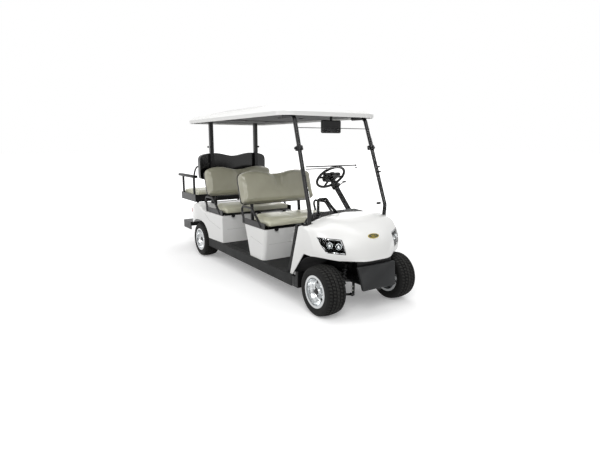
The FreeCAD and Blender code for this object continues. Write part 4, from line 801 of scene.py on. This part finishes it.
def back_depth(co):
    """How far a backrest's face is pressed in at a place, in millimetres."""
    if co.x < face_back:
        return 0.0
    fade = eased(co.z, crease_foot - fade_below, crease_foot + fade_above)
    across = abs(co.y)
    line = crease_y - crease_slant * (1 - eased(co.z, crease_foot, crease_top))
    hollow = hollow_depth * fade * (1 - eased(across, hollow_core * line, line + hollow_rim))
    seam = groove(across - line, seam_spread, seam_depth) * fade
    lobe = -mound((across - lobe_y) / lobe_half_width, (co.z - lobe_z) / lobe_half_height, lobe_height)
    waist = groove(co.z - waist_z, waist_spread, waist_depth) * (1 - eased(across, waist_fades, waist_ends))
    return (hollow + seam + waist + lobe) * eased(co.x, face_back, face_front)


def board_held(deepest):
    """A test for the points on the board behind a pad, deeper than a limit in millimetres."""
    return lambda co: co.x < deepest * mm


# %% Blow up the front backrest
back_lean = math.radians(18)
back_thickness = 92.0
lean_out = Vector((math.cos(back_lean), 0, math.sin(back_lean)))
lean_up = Vector((-math.sin(back_lean), 0, math.cos(back_lean)))


def back_place(row):
    """The frame of a forward-facing backrest, at the foot of its face."""
    low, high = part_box("backrest_" + row)
    return pad_frame((high.x, 0, low.z + back_thickness * mm * math.sin(back_lean)), lean_out, lean_up)


back_pad = full_pad("backrest_front", back_place("front"), board_held(-78), shrink=9, rounding=34,
                    skin_passes=4, cap=15)
pressed_in(back_pad, back_depth)
for row in ("front", "middle"):
    finished_pad(back_pad, "back_pad_" + row, back_place(row), "backrest_" + row, seat_vinyl)
bpy.data.objects.remove(back_pad)

# %% Blow up the rear backrest
# It sits in a tray that wraps its sides, so only what stands out of the tray swells.
low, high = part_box("backrest_rear")
rear_place = pad_frame((low.x, 0, low.z), Vector((-1, 0, 0)), Vector((0, 0, 1)))
rear_share = (high.z - low.z) / (crease_top * mm)
tray_rim = -29


def rear_depth(co):
    """The front backrest's creases on the lower rear one, only where it stands out of its tray."""
    return back_depth(Vector((co.x, co.y, co.z / rear_share))) if co.x > tray_rim else 0.0


back_pad = full_pad("backrest_rear", rear_place, board_held(-30), shrink=0, rounding=26,
                    skin_passes=3, cap=12, last_passes=1)
pressed_in(back_pad, rear_depth)
finished_pad(back_pad, "back_pad_rear", rear_place, "backrest_rear", seat_vinyl)
bpy.data.objects.remove(back_pad)

# %% [markdown]
# ## Seat cushions
#
# The cushions are flatter than the backs. A seam runs across behind the front roll, another from
# it to the back between the two places, and sitting has pressed each place a little hollow.

# %% Where a cushion is creased and held
roll_set = 92.0
place_y = 225.0
stitch_spread, stitch_depth, stitch_hold = 6, 5, 5
sat_depth, sat_half_width, sat_half_length, sat_share = 7, 120, 130, 0.45
top_back, top_front = -45, -18
free_below = -40


def cushion_depth(length):
    """The depth pressed into a cushion of a length, at places on its top, in millimetres."""
    def depth(co):
        if co.x < top_back:
            return 0.0
        roll = length - roll_set
        across_seam = groove(co.z - roll, stitch_spread, stitch_depth)
        middle_seam = groove(co.y, stitch_spread, stitch_depth) * (1 - eased(co.z, roll - 10, roll))
        hollow = mound((abs(co.y) - place_y) / sat_half_width, (co.z - length * sat_share) / sat_half_length,
                       sat_depth)
        return (across_seam + middle_seam + hollow) * eased(co.x, top_back, top_front)
    return depth


def cushion_held(length, deepest):
    """A test for the points on a cushion's board and along its two seams."""
    def test(co):
        if co.x < deepest * mm:
            return True
        if co.x < free_below * mm:
            return False
        along = co.z / mm - (length - roll_set)
        return abs(along) < stitch_hold or (abs(co.y) < stitch_hold * mm and along < 0)
    return test


# %% Blow up the cushions
def cushion_place(node, facing):
    """The frame of a cushion: its top's rear edge, X up and Z towards its front."""
    low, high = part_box(node)
    rear = low.x if facing > 0 else high.x
    return pad_frame((rear, 0, high.z), Vector((0, 0, 1)), Vector((facing, 0, 0)))


for rows, facing, board, shrink, cap in ((("front", "middle"), 1, -52, 6, 15), (("rear",), -1, -50, 4, 14)):
    node = "seat_cushion_" + rows[0]
    low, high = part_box(node)
    length = (high.x - low.x) / mm
    cushion = full_pad(node, cushion_place(node, facing), cushion_held(length, board), shrink=shrink,
                       rounding=0, skin_passes=3, cap=cap)
    pressed_in(cushion, cushion_depth(length))
    for row in rows:
        node = "seat_cushion_" + row
        finished_pad(cushion, "seat_pad_" + row, cushion_place(node, facing), node, paler_lit_cushion_vinyl)
    bpy.data.objects.remove(cushion)

# %% [markdown]
# ## Small parts from a few shapes
#
# Clips, caps, knobs and pads are rounded blocks, short rods or bent tubes: a cube with bevelled
# edges, a cylinder between two points, and a curve with a round section, turned into a mesh. Other
# helpers join such shapes to one piece, and find where a straight line meets a construction piece,
# so that a part can lie on its surface.

# %% Blocks, rods and tubes
def rounded_block(size, middle, edge, turn=None):
    """A block with round edges, its size and middle in millimetres, turned about its middle."""
    shape = bmesh.new()
    bmesh.ops.create_cube(shape, size=1.0)
    bmesh.ops.scale(shape, vec=Vector(size) * mm, verts=shape.verts)
    bevelled(shape, shape.edges[:], edge, 3)
    return moved(shape, Matrix.Translation(Vector(middle) * mm) @ (turn or Matrix.Identity(4)))


def turned_to(normal, axis, up):
    """The turn that points one axis along a normal, with another upwards."""
    return normal.to_track_quat(axis, up).to_matrix().to_4x4()


def rod(start, end, radius, edge=1.0, sides=24):
    """A round rod between two points in millimetres, with slightly broken edges."""
    start, end = Vector(start), Vector(end)
    shape = bmesh.new()
    middle = Matrix.Translation((start + end) / 2 * mm)
    cone(shape, sides, radius, radius, (end - start).length, middle @ turned_to(end - start, "Z", "Y"))
    bevelled(shape, [e for e in shape.edges if any(len(f.verts) > 4 for f in e.link_faces)], edge)
    return shape


def tube(points, radius, bend=True):
    """A round tube through points in millimetres, with smooth bends and closed ends."""
    curve = bpy.data.curves.new("tube", "CURVE")
    curve.dimensions = "3D"
    curve.bevel_depth = radius * mm
    curve.bevel_resolution = 4
    curve.use_fill_caps = True
    spline = curve.splines.new("BEZIER")
    spline.bezier_points.add(len(points) - 1)
    for knot, point in zip(spline.bezier_points, points):
        knot.co = Vector(point) * mm
        knot.handle_left_type = knot.handle_right_type = "AUTO" if bend else "VECTOR"
    thing = bpy.data.objects.new("tube", curve)
    mesh = bpy.data.meshes.new_from_object(thing)
    bpy.data.objects.remove(thing)
    bpy.data.curves.remove(curve)
    shape = bmesh.new()
    shape.from_mesh(mesh)
    bpy.data.meshes.remove(mesh)
    bmesh.ops.remove_doubles(shape, verts=shape.verts, dist=0.01 * mm)
    bmesh.ops.recalc_face_normals(shape, faces=shape.faces)
    return shape


def joined(shapes):
    """Several shapes as one."""
    whole = bmesh.new()
    for shape in shapes:
        mesh = mesh_of("part", shape)
        whole.from_mesh(mesh)
        bpy.data.meshes.remove(mesh)
    return whole


def surface_of(node):
    """A search tree over a construction piece's faces."""
    mesh = frame["nodes"][node].data
    return BVHTree.FromPolygons([v.co.copy() for v in mesh.vertices],
                                [tuple(p.vertices) for p in mesh.polygons])


def met(surface, start, way):
    """Where a line from a point in millimetres first meets a surface, and how that faces."""
    place, normal, face, distance = surface.ray_cast(Vector(start) * mm, Vector(way).normalized())
    return (place / mm, normal) if place else (None, None)


cowl = surface_of("front_cowl")
print("cowl nose at", met(cowl, (2100, 0, 687), (-1, 0, 0))[0])

# %% [markdown]
# ## Headlamps
#
# A moulded lamp is a dark housing behind a clear lens, with a bright bezel along its rim and two
# projectors with polished rings. The construction block fills the cowl's window, so its front faces
# become the lens, and insetting them twice gives the black gasket and the bezel.

# %% Lens, bezel and housing
lamp_look = Vector((0.78, 0.49, 0.39)).normalized()
gasket_width, bezel_width = 7.0, 6.0


def lamp_shape():
    """Both lamp blocks, with finish numbers: 0 housing, 1 lens, 2 gasket, 3 bezel."""
    shape = merged("headlamps", 0.02)
    for side in (-1, 1):
        look = lamp_look * Vector((1, side, 1))
        front = [f for f in shape.faces if f.calc_center_median().y * side > 0 and f.normal.dot(look) > 0.6]
        for width, number in ((gasket_width, 2), (bezel_width, 3)):
            ring = bmesh.ops.inset_region(shape, faces=front, thickness=width * mm, depth=0.0,
                                          use_even_offset=False)["faces"]
            for face in ring:
                face.material_index = number
        for face in front:
            face.material_index = 1
    return shape


lamp_body = new_piece("headlamp_lenses", lamp_shape(), [dash_plastic, lamp_clear, grip_rubber, chrome],
                      body_of("headlamps"), 24)
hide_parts("headlamps")

# %% Projectors
lamp_inner = Vector((1721, 288, 612))
lamp_outer = Vector((1603, 457, 635))
projector_shares = (0.22, 0.6)
projector_sinks = 22
ring_outline = [(-8, 27), (9, 29), (11, 27.5), (4, 21), (-6, 19)]
bulb_radius = 16
lens = surface_of("headlamps")
projectors = []
for side in (-1, 1):
    flip = Vector((1, side, 1))
    look = lamp_look * flip
    for share in projector_shares:
        aim = lamp_inner.lerp(lamp_outer, share) * flip
        spot, normal = met(lens, aim + look * 150, -look)
        place = Matrix.Translation((spot - look * projector_sinks) * mm) @ turned_to(look, "Y", "Z")
        bulb = bmesh.new()
        bmesh.ops.create_uvsphere(bulb, u_segments=28, v_segments=16, radius=bulb_radius * mm)
        projectors += [moved(spun(ring_outline, 40, closed=True), place), moved(bulb, place)]
new_piece("headlamp_projectors", joined(projectors), [chrome], sharp=40)

# %% [markdown]
# ## Nose badge
#
# The nose carries a plain oval badge: a gilt rim round a dark green enamel field, with a small gilt
# oval. A disc is squeezed to an oval, its top inset and sunk, and laid square on the cowl.

# %% Badge
# Gilt plating: a warm metal. Enamel: a deep green glaze under a clear gloss.
gilt = new_material("gilt_plated_rim", "#b9a548", 0.25, 1.0, wear=(0.2, 0.32, 8))
enamel = new_material("dark_green_enamel", "#24301a", 0.2, grain=(12, 0.03, 1.0), Coat_Weight=0.6,
                      Coat_Roughness=0.05)
badge_height = 690


def oval(half_width, half_height, thickness, rim):
    """An oval plate along Z, its field (finish 1) sunk inside a rim (finish 0)."""
    shape = bmesh.new()
    bmesh.ops.create_cone(shape, cap_ends=True, segments=64, radius1=1.0, radius2=1.0, depth=1.0)
    bmesh.ops.scale(shape, vec=Vector((half_width, half_height, thickness)) * mm, verts=shape.verts)
    bevelled(shape, [e for e in shape.edges if all(v.co.z > 0 for v in e.verts)], 1.2)
    top = [f for f in shape.faces if f.normal.z > 0.9 and len(f.verts) > 8]
    bmesh.ops.inset_region(shape, faces=top, thickness=rim * mm, depth=0.0)
    bmesh.ops.inset_region(shape, faces=top, thickness=0.6 * mm, depth=-1.2 * mm)
    for face in top:
        face.material_index = 1
    return shape


badge_spot, badge_normal = met(cowl, (2100, 0, badge_height), (-1, 0, 0))
badge_turn = turned_to(badge_normal, "Z", "X") @ Matrix.Rotation(math.pi / 2, 4, "Z")
badge = joined([oval(62, 25, 7, 4), oval(30, 9, 9.5, 8)])
moved(badge, Matrix.Translation((badge_spot + badge_normal * 0.5) * mm) @ badge_turn)
new_piece("nose_badge", badge, [gilt, enamel], sharp=40)
print("badge faces", tuple(round(n, 2) for n in badge_normal))

# %% [markdown]
# ## Clips, hinges and edge trim
#
# The windshield folds at a hinge across its middle, rubber clips hold it to the struts, and its top
# edge has a thin trim. Flanges with bolts fix the struts to the cowl, and small knobs on the rear
# struts would button a curtain.

# %% Strut clips and knobs
strut_lean = Matrix.Rotation(math.radians(-19.5), 4, "Y")
clip_x, clip_y, clip_z = 1238, 430, 1448
stop_y = 448
stops = ((1330, 1262), (1346, 1215))
knob_z = 1440
low_clip = Vector((1392, 412, 908))
clips = [rounded_block((24, 44, 22), low_clip, 5),
         rod(low_clip - Vector((0, 7, 0)), low_clip + Vector((18, -7, 0)), 7, 2)]
for side in (-1, 1):
    clips.append(rounded_block((46, 62, 42), (clip_x, side * clip_y, clip_z), 7, strut_lean))
    clips.append(rod((clip_x, side * (clip_y + 25), clip_z), (clip_x, side * (clip_y + 48), clip_z), 11, 3))
    clips.append(rod((clip_x + 24, side * 432, clip_z - 8), (clip_x + 36, side * 432, clip_z - 12), 12, 2))
    for x, z in stops:
        clips.append(rod((x, side * stop_y, z), (x + 6, side * (stop_y + 18), z), 8, 2))
    clips.append(rod((-1013, side * 366, knob_z), (-1013, side * 382, knob_z), 12, 3))
    clips.append(rod((-988, side * 350, knob_z), (-976, side * 350, knob_z), 12, 3))
new_piece("strut_clips", joined(clips), [grip_rubber])

# %% Windshield hinge and trim
hinge_x, hinge_z = 1338, 1286
stay_x, stay_z = 1344, 1266
hinge_end = 150
trim_x, trim_y, trim_z = 1204, 436, 1630
hinge_radius, stay_radius, trim_radius = 5.5, 4.5, 3.4
hinge = [tube([(hinge_x, -420, hinge_z), (hinge_x, hinge_end, hinge_z)], hinge_radius, False),
         tube([(stay_x, -425, stay_z), (stay_x, -192, stay_z)], stay_radius, False),
         rod((1332, hinge_end, 1285), (1346, hinge_end, 1285), 8, 2),
         rod((1340, hinge_end, 1262), (1352, hinge_end, 1262), 7, 2),
         tube([(trim_x, -trim_y, trim_z), (trim_x, trim_y, trim_z)], trim_radius, False)]
new_piece("windshield_hinge", joined(hinge), [grip_rubber])

# %% Strut flanges
# A flange follows the mean of the cowl's slopes round the strut's foot.
foot_x, foot_y = 1424, 452
looks_round_foot = ((48, 0), (-48, 0), (0, -42), (34, -34), (-34, -34), (34, 20))
bolt_reach = 34
flanges = []
bolts = []
for side in (-1, 1):
    found = [met(cowl, (foot_x + ahead, side * (foot_y + out), 1000), (0, 0, -1))
             for ahead, out in looks_round_foot]
    found = [(spot, normal) for spot, normal in found if spot]
    normal = sum((slope for spot, slope in found), Vector()).normalized()
    level = sum(spot.z for spot, slope in found) / len(found)
    spot = Vector((foot_x, side * foot_y, level))
    turn = turned_to(normal, "Z", "X")
    flanges.append(moved(rounded_block((64, 92, 7), (0, 0, 0), 3),
                         Matrix.Translation((spot + normal * 2) * mm) @ turn))
    for across in (-bolt_reach, bolt_reach):
        bolt_at = spot + normal * 6 + (turn @ Vector((0, across, 0)))
        bolts.append(rod(bolt_at, bolt_at + normal * 6, 8, 1.5, 6))
new_piece("strut_flanges", joined(flanges), [powder_black])

# %% Bolts and latches
bracket_x, tail_z = 1795, 416
bolts += [rod((bracket_x, y, z), (bracket_x + 12, y, z), 6, 1) for y in (251, -251) for z in (281, 247)]
bolts += [rod((x, y, tail_z), (x, y, tail_z + 5), 8, 1.5, 6) for x in (-1640, -1500) for y in (-370, 370)]
new_piece("frame_bolts", joined(bolts), [zinc_steel])
pan_top = 632
latch_y = 365
latches = []
for x in (714, -322):
    for y in (-latch_y, latch_y):
        latches.append(rounded_block((12, 46, 22), (x + 6, y, pan_top - 14), 3))
        latches.append(rounded_block((8, 26, 14), (x + 12, y, pan_top - 24), 2))
new_piece("seat_latches", joined(latches), [grip_rubber])

# %% [markdown]
# ## Mould lines in the white panels
#
# The white panels have shallow mould lines: across the front of each pedestal, down its side, and
# over the body beside the rear wheel. Each is a thin tube half sunk in the surface, in a greyer
# white, as the light in such a groove is.

# %% Mould lines
groove_white = new_material("shaded_white_mould_line", "#b4b4b2", 0.5, grain=(20, 0.05, 1.0))
looks_per_stretch = 10
furthest_look = 260
beside = 700
line_radius, body_line_radius = 1.6, 1.8


def laid_line(surface, corners, way, radius):
    """A thin tube along a surface, found by straight looks from each point of a path."""
    points = []
    for one, other in zip(corners, corners[1:]):
        for step in range(looks_per_stretch + 1):
            aim = Vector(one).lerp(Vector(other), step / looks_per_stretch)
            spot, normal = met(surface, aim, way)
            if spot and (spot - aim).length < furthest_look:
                points.append(spot - Vector(way) * (radius * 0.1))
    return tube(points, radius, False)


pedestal_wall = surface_of("seat_box_front")
body_wall = surface_of("rear_body")
lines = [laid_line(pedestal_wall, ((900, -440, 462), (900, 440, 462)), (-1, 0, 0), line_radius),
         laid_line(body_wall, ((-200, -440, 452), (-200, 440, 452)), (-1, 0, 0), line_radius)]
for side in (-1, 1):
    far, inward = side * beside, (0, -side, 0)
    lines.append(laid_line(pedestal_wall, ((400, far, 506), (660, far, 462)), inward, line_radius))
    over_wheel = ((-824, far, 600), (-700, far, 522), (-400, far, 454))
    lines.append(laid_line(body_wall, over_wheel, inward, body_line_radius))
new_piece("mould_lines", joined(lines), [groove_white])

# %% [markdown]
# ## Roof moulding and headliner
#
# The roof is one moulding with a raised field, so that rain runs to its edges: a grid laid over the
# roof that rises in a soft step inside the rim. Below, the headliner has a seam across it and four
# round caps over the fixings.

# %% Roof field
end_rim, side_rim = 88, 78
squareness = 5
crown_rise, edge_rise, step_rise, edge_sinks = 34.0, 8.0, 7.0, 1.0
crown_starts, edge_starts, step_starts, step_ends = 0.3, 0.95, 0.72, 0.76
roof_top = surface_of("roof_shell")
roof_low, roof_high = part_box("roof_shell")
roof_middle = (roof_low + roof_high) / 2 / mm
roof_half = (roof_high - roof_low) / 2 / mm
field = bmesh.new()
bmesh.ops.create_grid(field, x_segments=96, y_segments=48, size=1.0)
for corner in field.verts:
    across, along = corner.co.y, corner.co.x
    reach = (abs(across) ** squareness + abs(along) ** squareness) ** (1 / squareness) or 1.0
    square = max(abs(across), abs(along))
    x = roof_middle.x + along * (roof_half.x - end_rim) * square / reach
    y = across * (roof_half.y - side_rim) * square / reach
    spot, normal = met(roof_top, (x, y, 2000), (0, 0, -1))
    rise = crown_rise * (1 - eased(square, crown_starts, 1)) + edge_rise * (1 - eased(square, edge_starts, 1))
    rise += step_rise * (1 - eased(square, step_starts, step_ends)) - edge_sinks
    corner.co = Vector((x, y, spot.z + rise)) * mm
new_piece("roof_field", field, [roof_white], sharp=40)

# %% Headliner seam and caps
seam_x, seam_z = -330, 1755
cap_top, cap_foot, liner_cap_radius = 1757, 1748, 26
liner_bits = [rounded_block((10, 1040, 5), (seam_x, 0, seam_z), 2)]
liner_bits += [rod((x, y, cap_top), (x, y, cap_foot), liner_cap_radius, 3)
               for x in (-345, 420) for y in (135, -135)]
new_piece("headliner_fixings", joined(liner_bits), [dash_plastic])

# %% [markdown]
# ## Steering wheel pad and column shroud
#
# The wheel's middle is a soft pad that tapers towards the driver's lap. Below it a shroud covers the
# lock and carries the lever. Both are blocks with large round edges.

# %% Wheel pad and shroud
wheel_middle = Vector((819, 250, 1134))
wheel_out = Vector((-1, 0, 1)).normalized()
wheel_up = Vector((1, 0, 1)).normalized()
wheel_turn = Matrix((wheel_up, Vector((0, 1, 0)), wheel_out)).transposed().to_4x4()
pad_length, pad_width, pad_height = 118, 186, 42
pad_taper = 0.22
pad = rounded_block((pad_length, pad_width, pad_height), (0, 0, 0), 15)
for corner in pad.verts:
    corner.co.y *= 1 + pad_taper * corner.co.x / (pad_length / 2 * mm)
moved(pad, Matrix.Translation((wheel_middle - wheel_up * 6 + wheel_out * 6) * mm) @ wheel_turn)
new_piece("wheel_pad", pad, [grip_rubber], "steering", 40)
shroud_middle = wheel_middle - wheel_out * 112
column = frame["nodes"]["steering_column"].data
lever_tip = max((v.co for v in column.vertices), key=lambda co: co.y) / mm
shroud = [rounded_block((74, 66, 84), shroud_middle, 16, wheel_turn),
          rounded_block((40, 30, 34), shroud_middle + Vector((0, 44, 0)), 8, wheel_turn),
          rod(lever_tip - Vector((0, 34, 0)), lever_tip + Vector((0, 6, 0)), 9, 3)]
new_piece("column_shroud", joined(shroud), [dash_plastic], sharp=40)

# %% [markdown]
# ## Rear arms, side lenses, guards and mirror
#
# A bent tube runs from each padded arm of the rear seat up to its backrest. The tail lamps wrap
# round the corners with a side lens. Behind each front wheel a black guard closes the gap to the
# sill. The mirror's glass faces the driver.

# %% Arm pads and bent tubes
arm_size, arm_x, arm_y, arm_z = (604, 48, 36), -1572, 484, 1038
bend_path = ((-1090, 470, 1195), (-1180, 484, 1165), (-1250, 488, 1090), (-1275, 486, 1036))
bend_radius = 11
arms = []
bends = []
for side in (-1, 1):
    arms.append(rounded_block(arm_size, (arm_x, side * arm_y, arm_z), 13))
    bends.append(tube([(x, side * y, z) for x, y, z in bend_path], bend_radius))
new_piece("rear_arm_pads", joined(arms), [grip_rubber], sharp=40)
new_piece("rear_arm_bends", joined(bends), [powder_black], sharp=40)

# %% Side lenses of the tail lamps
side_lens_x, side_lens_z = -1268, 586
lens_sinks = 5
side_lenses = []
for side in (-1, 1):
    spot, normal = met(body_wall, (side_lens_x, side * beside, side_lens_z), (0, -side, 0))
    side_lenses.append(rounded_block((52, 22, 58), spot - Vector((0, side * lens_sinks, 0)), 6))
new_piece("tail_lamp_sides", joined(side_lenses), [lamp_red], sharp=40)

# %% Wheel guards and mirror glass
guard_y = 480
guard_edge = 2
guards = []
for side in (-1, 1):
    guards.append(rounded_block((38, 80, 150), (1332, side * guard_y, 262), guard_edge))
    guards.append(rounded_block((92, 76, 96), (1286, side * guard_y, 235), guard_edge))
new_piece("wheel_guards", joined(guards), [grip_rubber])
mirror_spot, mirror_normal = met(surface_of("mirror"), (1000, 0, 1640), (1, 0, 0))
glass = rounded_block((3, 190, 84), mirror_spot + mirror_normal * 0.8, 1, turned_to(mirror_normal, "X", "Z"))
new_piece("mirror_glass", glass, [chrome])
